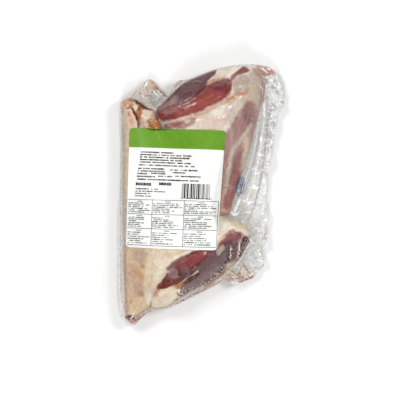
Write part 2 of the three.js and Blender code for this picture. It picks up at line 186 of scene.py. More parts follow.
LOWER_PATCHES = [
    ("cream of the head", "fat_cream", 5, 2, 0.8, None, 0.2,
     "-53.7 -58.5 -30.4 -56.4 -21.9 -64.9 -34.6 -77.6 -43.1 -90.3 -47.4 -103 -53.7 -113.6 -58 -100.9 "
     "-55.8 -79.7"),
    ("left flank", "membrane", 2.5, 1.2, 0.95, None, 0,
     "-87.6 79.3 -79.2 75.1 -78.1 47.5 -79.2 5.1 -79.2 -58.5 -81.3 -60.6 -87.6 -60.6"),
    # Painted shade on the steep lower left flank, laid twice.
    ("lower left flank", "film_shade", 3, 1.2, 1, None, 0, "-87.6 -1.3 -78.1 -1.3 -77.5 -56.4 -87.6 -56.4"),
    ("shade of the lower left flank", "bone", 3, 1.2, 0.6, None, 0,
     "-87.6 -1.3 -78.1 -1.3 -77.5 -56.4 -87.6 -56.4"),
    ("left margin of the head", "fat_pink", 1.6, 0.8, 0.8, None, 0,
     "-84.5 -54.3 -79.2 -54.3 -78.6 -79.7 -78.1 -103 -76 -120 -80.2 -126.3 -84.5 -111.5"),
    ("first pink blotch", "fat_pink", 4.5, 2, 0.5, None, 0,
     "-71.7 -59.6 -63.3 -57.4 -56.9 -62.7 -59 -72.3 -66.4 -75.5 -72.8 -69.1"),
    ("second pink blotch", "fat_pink", 4.5, 2, 0.5, None, 0,
     "-70.7 -94.5 -64.3 -92.4 -56.9 -98.8 -58 -107.3 -65.4 -108.3 -71.7 -102"),
    ("rusty blotch", "amber", 5, 2, 0.5, None, 0,
     "-74.9 -75.5 -65.4 -75.5 -58 -81.8 -62.2 -91.4 -71.7 -89.2 -76 -81.8"),
    ("rusty blotch under the label", "amber", 5, 2, 0.25, None, 0,
     "-43.1 -59.6 -33.6 -58.5 -30.4 -64.9 -37.8 -71.2 -44.2 -67"),
    ("first blood spot", "blood", 1.2, 0.4, 0.5, None, 0,
     "-62.7 -73.3 -60.1 -71.8 -58 -74.4 -59.5 -77.1 -62.2 -76.5"),
    ("second blood spot", "blood", 1.2, 0.4, 0.38, None, 0,
     "-75.4 -111.5 -73.3 -109.9 -71.7 -112.6 -73.3 -114.7 -75.1 -113.9"),
    ("third blood spot", "blood", 1.6, 0.5, 0.5, None, 0,
     "-65.4 -103 -62.2 -102 -59 -104.1 -61.1 -106.7 -65.4 -106.2"),
    ("tan streak of the head", "fat_pink", 2.5, 1.5, 0.3, None, 0,
     "-79.2 -71.2 -74.9 -67 -71.7 -77.6 -73.9 -100.9 -77 -111.5 -79.2 -95.6"),
    ("pale streak of the head", "fat_white", 3, 1.5, 0.6, None, 0.2,
     "-53.7 -63.8 -47.4 -64.9 -50.5 -83.9 -52.7 -100.9 -56.9 -111.5 -58 -95.6 -55.8 -77.6"),
    ("second pale streak of the head", "fat_white", 2.5, 1.5, 0.5, None, 0.2,
     "-39.9 -65.9 -31.5 -64.9 -37.8 -75.5 -43.1 -87.1 -47.4 -94.5 -47.4 -81.8"),
    ("white patch", "membrane", 2.5, 1, 0.7, None, 0,
     "-79.7 -85 -76 -83.9 -73.9 -90.3 -76 -95.6 -79.2 -93.5"),
    ("golden ridge of the head", "fat_yellow", 4, 2, 0.6, None, 0.1,
     "-58 -62.7 -48.4 -64.9 -45.2 -75.5 -47.4 -90.3 -53.7 -100.9 -59 -96.7 -56.9 -79.7"),
    ("knob", "fat_cream", 1.2, 0.6, 1, None, 1.2,
     "-52.7 -109.4 -46.3 -102.5 -38.9 -98.8 -30.4 -97.2 -21.9 -97.7 -16.6 -102 -21.9 -108.3 -28.3 -114.7 "
     "-38.9 -121 -48.4 -122.1 -53.7 -117.9"),
    ("rusty edge of the knob", "fat_pink", 2, 1, 0.8, None, 0,
     "-50.5 -98.8 -43.1 -93.5 -39.9 -98.8 -43.1 -104.1 -47.4 -107.3 -50.5 -105.1"),
    ("lower margin", "fascia", 1.8, 1, 0.8, None, 0,
     "-30.4 -95.6 -19.8 -92.4 -11.3 -102 -0.7 -97.7 9.9 -91.4 20.5 -83.9 29 -77.6 31.1 -81.8 20.5 -89.2 "
     "7.8 -97.7 -6 -104.1 -17.7 -110.4 -26.2 -111.5 -21.9 -100.9"),
    ("rusty wedge", "amber", 1.2, 0.8, 0.85, None, 0,
     "-29.3 -94.5 -23 -91.9 -18.7 -89.8 -17.7 -93.5 -20.9 -97.7 -26.2 -97.7"),
    ("lower inner muscle", "muscle_deep", 0.9, 0.5, 1, 38, 0.15,
     "-45.8 -98.8 -42.1 -91.4 -37.8 -86.1 -35.5 -81.8 -35.5 -76.5 -30.4 -70.7 -22.4 -65.4 -12.9 -60.6 "
     "-1.8 -57.4 7.8 -55.9 15.2 -55.3 13.1 -61.7 5.6 -69.1 0.3 -75.5 -6.5 -81.8 -16.1 -88.7 -25.6 -93.5 "
     "-37.3 -98.2"),
    ("lit face of the lower inner muscle", "muscle_red", 2, 1, 0.85, 38, 0,
     "-25.1 -73.3 -17.7 -67 -8.1 -61.7 0.3 -58 10.9 -55.9 8.8 -62.7 0.3 -70.2 -8.1 -74.4 -17.7 -76.5 "
     "-24 -77.6"),
    ("crimson foot of the lower inner muscle", "blood", 2, 1, 0.3, 38, 0,
     "-45.2 -97.7 -41.5 -92.4 -35.7 -88.2 -29.3 -89.2 -30.4 -94.5 -38.9 -98.2"),
    ("tent of film on the muscle", "glaze", 1.3, 0.9, 0.6, 38, 0.3,
     "-33.6 -77.6 -28.3 -76 -24 -78.6 -25.1 -81.8 -22.4 -85.5 -26.2 -88.2 -30.9 -86.6 -33 -82.9"),
    ("second tent of film on the muscle", "glaze", 1.2, 0.7, 0.35, 38, 0.2,
     "-20.9 -77.6 -14.5 -75.5 -11.3 -77.6 -15.6 -81.8 -19.8 -81.8"),
    ("veil on the lower inner muscle", "glaze", 2.6, 1.6, 0.38, 38, 0.1,
     "-35.7 -79.7 -32.5 -72.3 -24 -67 -15.6 -63.4 -15.6 -67 -24 -72.3 -29.3 -77.6 -30.4 -86.1 "
     "-34.6 -87.1"),
    ("grey muscle", "muscle_grey", 0.9, 0.5, 1, 38, 0.4,
     "-20.9 -103 -20.3 -96.7 -14.5 -91.9 -6 -87.7 -2.8 -81.8 -2.8 -76.5 1.9 -70.2 8.3 -63.8 10.4 -58 "
     "16.2 -56.4 19.4 -54.3 26.8 -52.7 32.8 -53.7 32.6 -61.7 31.7 -69.1 26.8 -76.1 21.5 -82.5 14.8 -88.2 "
     "6.7 -93.5 -1.8 -98.4 -8.1 -102 -14.5 -105.1"),
    ("pale foot of the grey muscle", "glaze", 2.2, 1.4, 0.34, 38, 0.2,
     "-19.8 -102 -17.7 -95.6 -9.2 -93.5 1.4 -87.7 10.9 -81.8 19.4 -75.5 22.6 -77.6 15.2 -86.1 5.6 -92.4 "
     "-5 -98.8 -13.4 -103"),
    # Painted shade in the cleft of the grey muscle.
    ("dark cleft of the grey muscle", "muscle_deep", 1.1, 0.5, 0.95, 38, -0.3,
     "-19.8 -93.5 -14.5 -88.7 -8.1 -83.9 -1.8 -81.3 -1.8 -85 -8.1 -89.8 -14.5 -93.5"),
    ("folds beside the upper inner muscle", "glaze", 1.4, 0.8, 0.9, 70, 0,
     "39.6 -41.5 44.9 -37.3 51.2 -39.4 53.3 -43.7 51.2 -54.3 45.9 -64.9 38.5 -72.3 32.1 -70.2 39.6 -60.6 "
     "40.6 -52.1 37.4 -45.8"),
    ("pale wedge beside the stripe", "membrane", 0.9, 0.4, 0.75, None, 0.2,
     "42.3 -38.4 46.6 -39 49.1 -41.1 45.9 -43.2 43.2 -47.9 41 -52.1 40.2 -47.9 42.7 -44.7"),
    ("upper inner muscle", "muscle_wine", 1.2, 0.7, 0.95, 38, 0.3,
     "16.2 -58.5 17.9 -52.8 19.8 -49 24.7 -44.1 30 -38.1 33.2 -37.7 37.4 -38.4 43.6 -38.8 43.4 -43.7 "
     "42.3 -46.8 39.1 -48.5 32.1 -49.6 29 -53.2 24.7 -54.7 19.4 -55.3"),
    ("purple foot of that muscle", "muscle_plum", 1.4, 0.8, 0.95, 38, 0.1,
     "21.5 -51.1 27.9 -49 33.2 -46.4 40 -47.9 39.8 -55.3 38.9 -62.7 35.7 -69.7 31.7 -71.2 31.1 -63.8 "
     "31.7 -55.3 26.8 -54.3 21.5 -54.9"),
    ("pale window in the grey muscle", "membrane", 0.9, 0.6, 0.7, 38, 0.3,
     "16.9 -63.2 16.9 -58.1 20.1 -53.8 24.7 -53 25.4 -56 22.2 -60 18.8 -63.2"),
    ("dark stripe", "muscle_plum", 0.9, 0.5, 1, 70, -0.3,
     "41.7 -54.3 43.8 -46.8 47 -43.2 50.2 -41.5 52.3 -42.2 51.6 -46.4 48.7 -52.6 44.9 -60 42.3 -65.9 "
     "41 -65.5 41 -59.6"),
    ("heart of the dark stripe", "muscle_deep", 1, 0.5, 0.9, 70, -0.2,
     "42.7 -50 46.6 -44.3 49.7 -44.3 47 -52.8 42.7 -60.6 41.5 -56.4"),
    ("shoulder of fat", "fat_white", 1.8, 0.8, 0.95, None, 0.5,
     "18.4 -23.5 26.8 -22.5 34.3 -23 42.7 -26.7 50.2 -33.6 53.9 -39.4 51.2 -44.2 46.5 -42.1 41.7 -38.9 "
     "33.2 -35.7 26.8 -38.9 20.5 -44.7 17.3 -47.9 16.2 -33.1"),
    ("yellow crest of the shoulder", "fat_yellow", 1.8, 0.8, 0.75, None, 0.3,
     "32.1 -26.7 39.6 -28.8 48 -34.1 52.3 -38.4 49.1 -38.9 41.7 -35.7 33.2 -32.5"),
    ("bruise under the label", "glaze", 3, 1.2, 0.35, None, 0,
     "-68.6 -56.4 -61.1 -55.9 -55.8 -60.6 -58 -68 -65.4 -71.2 -70.7 -64.9"),
    ("second bruise of the head", "glaze", 3, 1.2, 0.35, None, 0,
     "-70.7 -93.5 -63.3 -92.4 -58 -97.7 -59 -105.1 -66.4 -107.3 -71.7 -100.9"),
    ("hock skin", "fat_cream", 4, 1.5, 0.6, None, 0,
     "-84.5 102.6 -69.6 103.7 -58 98.4 -45.2 88.8 -38.9 75.1 -43.1 64.5 -74.9 64.5 -84.5 79.3"),
    ("grey side of the hock", "membrane", 2.5, 1.2, 0.8, None, 0,
     "-85.5 89.9 -80.2 89.9 -78.1 81.4 -76.5 64.5 -85.5 64.5"),
    ("rusty cap of the hock", "fascia", 2, 1.1, 0.9, None, 0.5,
     "-83.4 93.1 -82.3 98.4 -78.6 101.3 -73.9 102.4 -69.6 101 -68 98.4 -70.2 95.7 -72.8 93.1 -78.1 92 "
     "-81.8 89.9"),
    ("brown heart of the cap", "muscle_brown", 0.6, 0.6, 0.85, None, -0.2,
     "-76 100.9 -73.9 101.8 -70.7 100.9 -70.3 98.6 -72.8 97.3 -75.3 98.4"),
    ("round fold behind the crease", "membrane", 1.2, 0.6, 0.9, None, 0.8,
     "-71.7 103.7 -66.4 103.7 -62.2 102.1 -56.9 97.8 -51.6 92.5 -52.7 91 -56.9 91.7 -62.2 94.7 "
     "-67.5 99.4"),
    ("shade of the round fold", "muscle_mauve", 1.3, 0.6, 0.75, None, 0,
     "-65.4 102.1 -61.7 101 -60.1 98.4 -61.7 97.3 -64.8 100"),
    ("amber of the joint", "amber", 1.2, 0.9, 1, None, 0,
     "-73.9 95.2 -70.2 96.9 -65.4 96.3 -61.1 93.3 -58.8 89.9 -60.7 86.2 -62.2 80.8 -65.8 77.8 -69.2 84.2 "
     "-70.7 88.3 -73.9 91.4"),
    ("cream between the creases", "fat_cream", 1, 0.7, 0.9, None, 0.4,
     "-70.7 97.3 -67 97.3 -65.1 94.1 -66.1 89.4 -68.2 87.6 -70.3 89.9 -71.1 94.1"),
    ("tendon of the hock", "fat_cream", 1.2, 0.7, 0.95, 95, 0.8,
     "-78.3 89.9 -73.9 90.4 -71.2 87.2 -68.6 81.9 -66.7 74 -66.2 65.5 -76 65.5 -77.7 77.2 -78.9 85.7"),
    ("flush of the tendon", "fat_pink", 2, 1, 0.45, 95, 0,
     "-78.1 89.9 -70.7 89.9 -66.4 81.4 -65.4 65.5 -76 65.5 -79.2 83.5"),
    ("pink of the tendon", "fascia", 1.4, 0.8, 0.8, 95, 0,
     "-77.6 87.8 -74.4 87.2 -73.3 83.5 -74.9 81.4 -76.7 83.5"),
    ("second pink of the tendon", "fascia", 1.4, 0.8, 0.8, 95, 0,
     "-75.1 79.8 -72.5 79.8 -71.1 76.7 -72.2 73.5 -74.3 74.5"),
    ("brown of the tendon", "muscle_brown", 0.9, 0.5, 0.55, 95, 0,
     "-77.3 86.5 -75.7 86.4 -74.8 84 -76 82.5 -77 84.1"),
    ("rusty side of the hock", "fascia", 1.2, 0.7, 0.7, None, 0,
     "-84.1 93.1 -82.1 92 -81.3 88.3 -82.3 84.1 -84.1 85.7"),
    ("cream knob of the joint", "fat_cream", 1.4, 0.8, 1, None, 0.9,
     "-62.7 88.3 -58 90.3 -51.6 88.6 -49.5 85.7 -52.1 81.6 -56.4 79.7 -61.1 80.8 -63.3 84.6"),
    ("tan beside the knob", "fat_pink", 1.2, 0.7, 0.6, None, 0,
     "-51.1 88.3 -47.9 86.2 -47.9 80.9 -51.6 80.4 -52.2 84.1"),
    ("amber under the knob", "amber", 1.6, 0.9, 0.95, None, 0,
     "-56.9 78.8 -52.7 79.5 -47.4 80.9 -43.6 78.8 -39.9 72.4 -39.9 65.5 -54.2 65.5 -55.8 72.9"),
    ("grey under the knob", "muscle_mauve", 1.3, 0.7, 0.6, None, 0,
     "-65.2 78.8 -61.1 78.5 -58.5 74 -57.4 66.6 -64.3 66.6"),
    ("tan fold of the joint", "fat_yellow", 1.2, 0.6, 0.7, None, 0.5,
     "-61.7 79.5 -57.4 78.8 -55.3 74.5 -54.8 66.6 -57.3 66.6 -58.4 72.9"),
    ("brown edge of the joint", "muscle_brown", 1.3, 0.7, 0.9, None, -0.3,
     "-48.4 88.3 -45.2 84.6 -41.5 79.8 -36.8 72.4 -39.3 69.8 -44.4 77.7 -47.8 81.9"),
    ("heart of the amber", "amber", 1.2, 0.5, 1, None, 0,
     "-67.5 89.5 -63.7 88.8 -61.8 86.1 -63.5 82.1 -66.4 82.3 -67.7 86.1"),
]

# A stroke is its name, colour, half width, strength, height and path.

UPPER_STROKES = [
    ("slanting tendon", "membrane", 2.6, 0.8, 0.4,
     "53.3 72.9 48 65.5 41.2 56.5 34.8 47.5 31.5 39 29.4 26.3 27.1 13.6 25.1 1.9"),
    ("upright tendon", "membrane", 2, 0.5, 0.3, "31.5 69.8 32.6 58.1 31.9 47.5 30.9 38"),
    ("tan edge of the shin", "fascia", 0.6, 0.65, 0.2, "52.3 68.7 51.2 49.6 47.6 31.6 43.8 16.8 40.2 0.9"),
    ("thin vein", "blood", 0.5, 0.55, 0, "21.5 6.6 26.8 7.9 32.1 8.9 38.5 11.5"),
    ("blood line at the shin end", "blood", 0.7, 0.75, -0.3, "19.4 -17.7 24.7 -19.8 30 -21.4 34.3 -24.1"),
    # Painted shade in the creases along the edges of the calf lobe and the inner muscle.
    ("edge of the calf lobe", "muscle_deep", 0.9, 0.5, -0.6,
     "-46.3 85.7 -37.8 89.4 -28.3 92.5 -17.7 96.8 -7.1 102.6 2.5 109 6.2 114.3"),
    ("edge of the inner muscle", "blood", 0.5, 0.4, -0.4,
     "-44.2 78.2 -32.5 77.2 -17.7 80.6 -2.8 85.4 12 92.2 24.7 99.4 30 104.7 32.7 113.2"),
    ("vein over the fat pocket", "fascia", 0.5, 0.6, 0,
     "6.7 115.3 12 120.6 18.4 122.2 24.7 122.2 30 123.8"),
    ("line over the knuckle", "fascia", 0.5, 0.45, 0, "32.1 107.4 37.4 104.7 44.9 105.3 50.2 108.4"),
    ("red corner line", "blood", 0.5, 0.55, -0.4, "59.7 128.1 63.9 123.8 68.2 118.5 69.2 113.2"),
    ("tan side of the lower shin", "fat_pink", 1.3, 0.7, 0.2, "24.1 5.1 23 -5.5 21.1 -16.1"),
    ("tan side of the lower shin on the right", "fat_pink", 1.3, 0.75, 0.2,
     "38.5 5.1 36.4 -5.5 33.8 -14 31.7 -19.3"),
    ("fine line of the fringe", "amber", 0.5, 0.7, 0.1, "5.2 115.3 9.9 118.5 16.2 120.6 22.6 121.5"),
    ("fine line of the band", "amber", 0.45, 0.6, 0.1, "26.8 96.3 32.1 100.5 38.5 104.3 44.9 105.8"),
    ("second fine line of the band", "amber", 0.4, 0.5, 0.1, "31.1 98.8 35.3 103.7 41.7 107.3"),
    ("third fine line of the band", "fat_yellow", 0.5, 0.6, 0.1, "41.7 106.9 45.9 111.1 49.7 115.3"),
    ("heart of the slanting tendon", "fat_white", 0.9, 0.35, 0.2,
     "51.2 69.8 41.7 57 35.3 48.1 31.7 39 29.4 26.3"),
    ("pale sheath of the outer shin", "membrane", 1.6, 0.5, 0.1,
     "52.3 65.5 51.2 47.5 48 32.7 43.8 17.8 40.2 5.1"),
]
LOWER_STROKES = [
    # Painted shade on the bank of the cleft of the hock.
    ("rusty bank of the cleft", "rust", 2, 0.6, -0.3, "-70.2 100 -66.4 96.7 -62.2 93.5 -56.9 91.4"),
    ("ridge of the head", "fat_white", 3, 0.3, 1,
     "-43.1 -58.5 -46.3 -71.2 -47.4 -85 -50.5 -99.8 -54.2 -113.6"),
    ("tissue along the red muscle", "fat_white", 1.5, 0.7, 0.3,
     "-34.6 -73.3 -27.2 -66.4 -18.7 -62.2 -10.3 -58.5"),
    # Painted shade in the crease above the knob.
    ("crease above the knob", "blood", 0.8, 0.35, -0.6, "-51.6 -110.4 -46.3 -102 -36.8 -97.7"),
    ("white rim of the red muscle", "glaze", 0.9, 0.6, 0.2,
     "-37.8 -76.5 -29.3 -71.2 -21.9 -65.9 -11.3 -60.6"),
    # Painted shade deep in the cleft of the hock, over the brown of blood in it.
    ("cleft of the hock", "rust", 1.2, 0.95, -1.2,
     "-69.8 100.5 -67 98 -63.3 95.2 -59.4 92.4 -55.2 90.6 -48.8 89.5"),
    ("head of the cleft", "clot_and_cleft_shade", 1.5, 0.8, -0.8, "-69.3 99.9 -66.9 97.7"),
    # Painted shade in the grooves along the edges of the tendon.
    ("upper edge of the tendon", "muscle_brown", 0.95, 0.85, -0.6,
     "-78.7 90.5 -76 91.9 -73 91.4 -71.1 88.8"),
    ("edge of the tendon", "rust", 1.2, 0.95, -1, "-72.2 90.5 -70 86.7 -68.1 82.5 -66.7 78.2 -65.4 70.8"),
    ("heart of the edge of the tendon", "clot_and_cleft_shade", 0.65, 0.6, -0.4, "-70.3 87.1 -67.9 82.1 -66.4 77.2"),
    ("dark spot of the joint", "clot_and_cleft_shade", 0.8, 0.9, -0.5, "-65.2 92.4 -65 89.5"),
    ("second dark spot of the joint", "clot_and_cleft_shade", 0.5, 0.6, -0.3, "-65.8 87.8 -65.4 86.7"),
    ("rusty fold of the joint", "fascia", 0.9, 0.8, -0.3, "-56.7 78.3 -54.6 76.1 -53.1 72.9 -52 68.7"),
    ("brown fold of the joint", "muscle_brown", 0.45, 0.7, -0.3, "-56.1 78.6 -53.3 79.3 -49.5 79.7"),
    ("brown line of the amber", "muscle_brown", 0.55, 0.55, -0.3,
     "-69 86.2 -66.9 83 -64.7 80.8 -61.1 79.7"),
    # A painted highlight on the cap of the hock.
    ("light of the cap", "film_highlight", 0.5, 0.85, 0.2, "-76.5 96.9 -76.4 93.1"),
    ("rim of the hock", "fascia", 0.6, 0.45, 0, "-83.6 91 -83.1 97.3 -79.7 100.9 -74.9 102.3"),
    ("brown spot of the rim", "muscle_brown", 0.6, 0.7, 0, "-83.5 90.3 -82.6 87.4"),
    # Painted shade in the notch beside the knob.
    ("notch beside the knob", "rust", 1, 0.6, -1, "-52 -112 -52.7 -115.7 -53.3 -119.4"),
    ("blood line of the tip", "blood", 0.95, 0.9, -0.3,
     "-70 -133.3 -66 -130.5 -61.1 -127.3 -56.9 -124.2 -52.2 -121.5"),
    ("heart of the blood line", "muscle_deep", 0.45, 0.7, -0.2, "-68.6 -132.1 -64.3 -129.1 -59.7 -126.1"),
    ("blood in the tip", "blood", 2.2, 0.5, 0, "-78.5 -129.5 -74.9 -129.1 -71.7 -129.9"),
    ("heart of the blood in the tip", "muscle_deep", 1.6, 0.9, 0, "-74.3 -129.8 -72.2 -130.1"),
    ("fold above the tip", "fascia", 0.5, 0.6, -0.2, "-68.3 -110.4 -68.1 -116.8 -70 -120.6 -71.3 -123.6"),
    ("second fold above the tip", "fascia", 0.45, 0.45, -0.2, "-75.3 -120 -74.3 -113.6 -73.4 -107.3"),
    ("left edge of the head", "fat_pink", 1.2, 0.7, -0.3,
     "-79.4 -60.6 -79.6 -86.1 -79.2 -107.3 -77 -123.2"),
    ("ridge beside the notch", "fat_white", 1.5, 0.75, 0.4, "-52.7 -102 -53.7 -108.3 -55.8 -114.7"),
    # Painted shade along the rim of the knob.
    ("dark rim of the knob", "rust", 0.6, 0.4, -0.3, "-46.3 -121.5 -39.9 -120.4 -32.5 -116.8 -25.5 -113"),
    # Painted highlights along the dark stripe and beside the grey muscle.
    ("first light of the dark stripe", "film_highlight", 0.4, 0.4, 0.3, "50.8 -45.4 47 -53.6 42.7 -61.7"),
    ("second light of the dark stripe", "film_highlight", 0.35, 0.35, 0.3, "48 -45.8 44.9 -52.1 42.1 -58.5"),
    ("white line beside the stripe", "film_highlight", 0.55, 0.8, 0.4, "40 -49.4 40.6 -56.4 39.1 -63.8"),
    ("white line beside the grey muscle", "film_highlight", 0.55, 0.9, 0.5,
     "30.9 -53.6 31.9 -58.5 31.3 -64.9 30.9 -68.5"),
    # Painted shade in the fold beside the grey muscle.
    ("dark line beside the grey muscle", "clot_and_cleft_shade", 0.75, 0.9, -0.4,
     "29.6 -53 30.2 -58.5 29.8 -63.8 27.5 -69.5"),
    ("rim of the plum muscle", "glaze", 0.5, 0.5, 0.2, "21.5 -46.8 27.9 -40.5 34.3 -36.2 41.7 -38.4"),
    # Painted shade in the heart of the cleft of the grey muscle.
    ("heart of the cleft", "clot_and_cleft_shade", 1, 0.85, -0.3, "-17.7 -91.8 -12.4 -88 -7.1 -85 -2.8 -82.9"),
    ("brown margin", "muscle_brown", 0.8, 0.6, -0.2,
     "-18.7 -109 -11.3 -106.2 -2.8 -102.6 6.7 -97.3 16.2 -90.9"),
    ("rusty spots of the margin", "amber", 1, 0.8, 0.1, "-7.1 -101.5 -0.7 -99.4 4.6 -95.6"),
    # Painted shade in the creases of the joint, along the tendon and in the cleft of the hock.
    ("dark line of the joint", "rust", 1.1, 0.9, -0.4, "-47.8 82.9 -44.6 79.3 -41.4 75.1 -38.9 70.2"),
    ("brown arc under the knob", "rust", 0.55, 0.85, -0.4, "-55.8 78.2 -54.1 75.1 -52 71.9 -51.2 68.7"),
    ("rusty edge of the tendon", "rust", 1.5, 0.5, -0.3, "-71.1 89.3 -68.1 84 -66.4 78.2 -64.7 71.9"),
    ("heart of the cleft of the hock", "clot_and_cleft_shade", 0.5, 0.8, -0.4,
     "-68.1 98.4 -64.7 95.6 -61.1 93.1 -56.9 91.1 -52.7 90.1"),
    ("dark plum under the crimps", "muscle_plum", 1.4, 0.6, -0.2,
     "-25.1 -103 -21.9 -107.3 -17.7 -105.8 -11.3 -103"),
]

# Film crimped over an edge of the muscle: its name, half width, length, spacing and height of its pleats,
# and the path that they cross.

SERRATIONS = [
    ("crimped film on the right of the grey muscle", 0.75, 3.2, 1.5, 0.6,
     "31.7 -53.2 32.1 -59.6 31.5 -65.5 28.5 -71.2 24.3 -76.5 20.1 -81.8"),
    ("crimped film at the foot of the grey muscle", 0.75, 5.2, 1.8, 0.8,
     "-23 -98.8 -19.3 -104.1 -12.4 -104.5 -6 -101.3 0.3 -97.7 6.7 -93.3 13.1 -88.8 19.4 -82.9"),
    ("fine crimps at the foot of the grey muscle", 0.45, 3, 1.3, 0.5,
     "-20.9 -94.5 -16.6 -100.9 -10.3 -100.9 -3.9 -97.3 2.5 -93.1"),
    ("crimped film beside the knob", 0.65, 3.6, 1.5, 0.6, "-26.2 -112.6 -23.4 -109 -19.8 -105.1"),
    ("crimped film under the shoulder", 0.5, 2.8, 1.8, 0.4, "33.2 -72.3 38.1 -66.6 41.7 -60.6 44.9 -54.3"),
]

# ---- Film ----
# A zone is its name, colour, cover, height of its crumples, softness, waviness and outline.

FILM_ZONES = [
    ("smooth film beside the upper shank", "film_grey", 0.42, 0.16, 4, 2,
     "60.8 87.8 71.4 100.5 75.6 96.3 71.4 68.7 67.1 36.9 65 10.4 65 -10.8 56.5 -28.8 48 -28.8 37.4 -22.5 "
     "33.2 -14 39.6 3 47 19.9 52.3 39 57.6 56"),
    ("crumpled edge on the right", "film_grey", 0.5, 1.3, 3, 2,
     "69.2 128.1 86.2 125.9 94.7 104.7 86.2 81.4 83 47.5 78.8 18.9 76.7 -10.8 79.8 -28.8 77.7 -47.9 "
     "71.4 -64.9 73.5 -77.6 60.8 -94.5 37.4 -103 20.5 -94.5 26.8 -81.8 41.7 -71.2 52.3 -60.6 59.7 -47.9 "
     "58.6 -33.1 62.9 -10.8 65 15.7 66.1 47.5 69.2 75.1 72.4 94.1 69.2 113.2 67.1 121.7"),
    ("pale outer edge on the right", "film_pale", 0.68, 1.7, 2.5, 1.5,
     "73.5 125.9 94.7 121.7 94.7 100.5 86.2 81.4 83 47.5 78.8 18.9 76.7 -10.8 79.8 -28.8 77.7 -47.9 "
     "71.4 -64.9 65 -71.2 58.6 -67 65 -52.1 62.9 -35.2 67.1 -23.5 66.1 -9.7 69.2 7.2 69.2 19.9 72.4 34.8 "
     "73.5 53.9 76.7 70.8 76.7 85.7 75.6 98.4 71.4 106.9 69.2 117.5"),
    ("slack film below the shoulder", "film_grey", 0.5, 0.8, 2.5, 1.5,
     "52.3 -47.9 58.6 -39.4 65 -43.7 65 -60.6 58.6 -71.2 45.9 -77.6 33.2 -79.7 37.4 -71.2 47 -62.7"),
    ("tail of film on the right", "film_tan", 0.85, 1, 1.6, 1,
     "22.6 -86.1 30 -77.6 39.6 -72.3 45.9 -73.3 51.2 -80.8 56.5 -87.1 49.1 -90.3 41.7 -92.4 34.3 -92.4 "
     "27.9 -88.2"),
    ("clear end of the tail", "film_pale", 0.5, 0.5, 1.2, 0.8,
     "27.9 -89.2 34.3 -91.9 43.8 -91.9 40.6 -96.7 36.4 -98.8 30 -96.7"),
    ("film along the foot", "film_tan", 0.62, 0.7, 1.8, 1,
     "-53.7 -122.1 -37.8 -118.9 -17.7 -111.5 4.6 -99.8 20.5 -89.2 29 -83.9 31.1 -93.5 14.1 -100.9 "
     "-5 -110.4 -21.9 -116.8 -43.1 -125.3 -55.8 -129.5"),
    ("strip of film on the left", "film_grey", 0.34, 0.12, 1, 0.6,
     "-89.8 96.3 -84.5 100.5 -83.4 68.7 -83 -5.5 -82.3 -79.7 -80.2 -120 -77 -131.6 -85.5 -134.8 "
     "-91.9 -111.5 -91.9 -5.5"),
    ("tip of film at the foot", "film_pale", 0.35, 0.35, 1.6, 0.8,
     "-88.7 -124.2 -79.2 -131.6 -73.9 -133.8 -64.3 -129.5 -53.7 -121.6 -51.6 -125.3 -64.3 -135.9 "
     "-72.8 -143.3 -81.3 -141.2"),
    ("pink of the tip", "film_pink", 0.75, 0.3, 1.4, 0.8,
     "-77 -131.6 -72.8 -131.1 -68.6 -132.2 -62.2 -128.5 -53.7 -123.2 -51.6 -124.2 -62.2 -132.2 "
     "-69.6 -136.4 -73.9 -136.9"),
    ("flap of film above the hock", "film_flap", 0.72, 0.4, 1.2, 0.8,
     "-73.9 101.6 -70.7 110 -62.2 114.3 -56.9 123.8 -48.4 124.9 -41 117.5 -43.1 113.2 -37.8 109 "
     "-31.5 105.3 -37.8 99.4 -45.2 93.1 -49.5 89.4 -55.8 94.1 -65.4 98.9"),
    ("tan top of the flap", "film_tan", 0.62, 0.5, 2, 1.2,
     "-60.1 119.6 -53.7 122.8 -45.2 119.6 -43.1 114.3 -46.3 110 -50.5 113.2 -55.8 113.2 -58 106.9 "
     "-60.1 111.1"),
    ("pink side of the flap", "film_pink", 0.8, 0.3, 1.2, 0.8,
     "-51.6 119.6 -45.2 118.5 -45.8 112.2 -43.1 109 -48.4 111.1 -50.5 115.3"),
    # The grey heart of the flap is painted shade.
    ("grey heart of the flap", "film_shade", 0.5, 0.15, 2.5, 1,
     "-53.7 106.9 -45.2 107.9 -38.9 103.7 -43.1 97.3 -49.5 94.1 -53.7 97.3"),
    ("curl of film at the head", "film_tan", 0.85, 0.5, 1, 0.6,
     "-32.5 107.9 -30.4 117.5 -25.1 122.8 -17.7 122.8 -20.9 116.4 -26.2 111.1 -31.5 104.7"),
    ("stained corner of film", "film_tan", 0.55, 0.7, 1.8, 1.6,
     "56.5 137.6 66.1 138.1 75.6 134.4 79.8 128.1 74.5 125.9 70.3 128.1 66.1 121.7 62.9 122.8 59.7 129.1"),
    ("red of the corner", "film_pink", 0.62, 0.5, 1.2, 1.4,
     "59.7 136 67.1 136.5 74.5 132.3 72.4 128.1 68.2 125.9 63.9 125.9 60.8 131.2"),
    ("pale film beside the shin end", "film_pale", 0.55, 0.5, 4, 2,
     "58.6 17.8 71.4 13.6 71.4 -14 60.8 -22.5 51.2 -18.2 55.5 -1.3"),
]
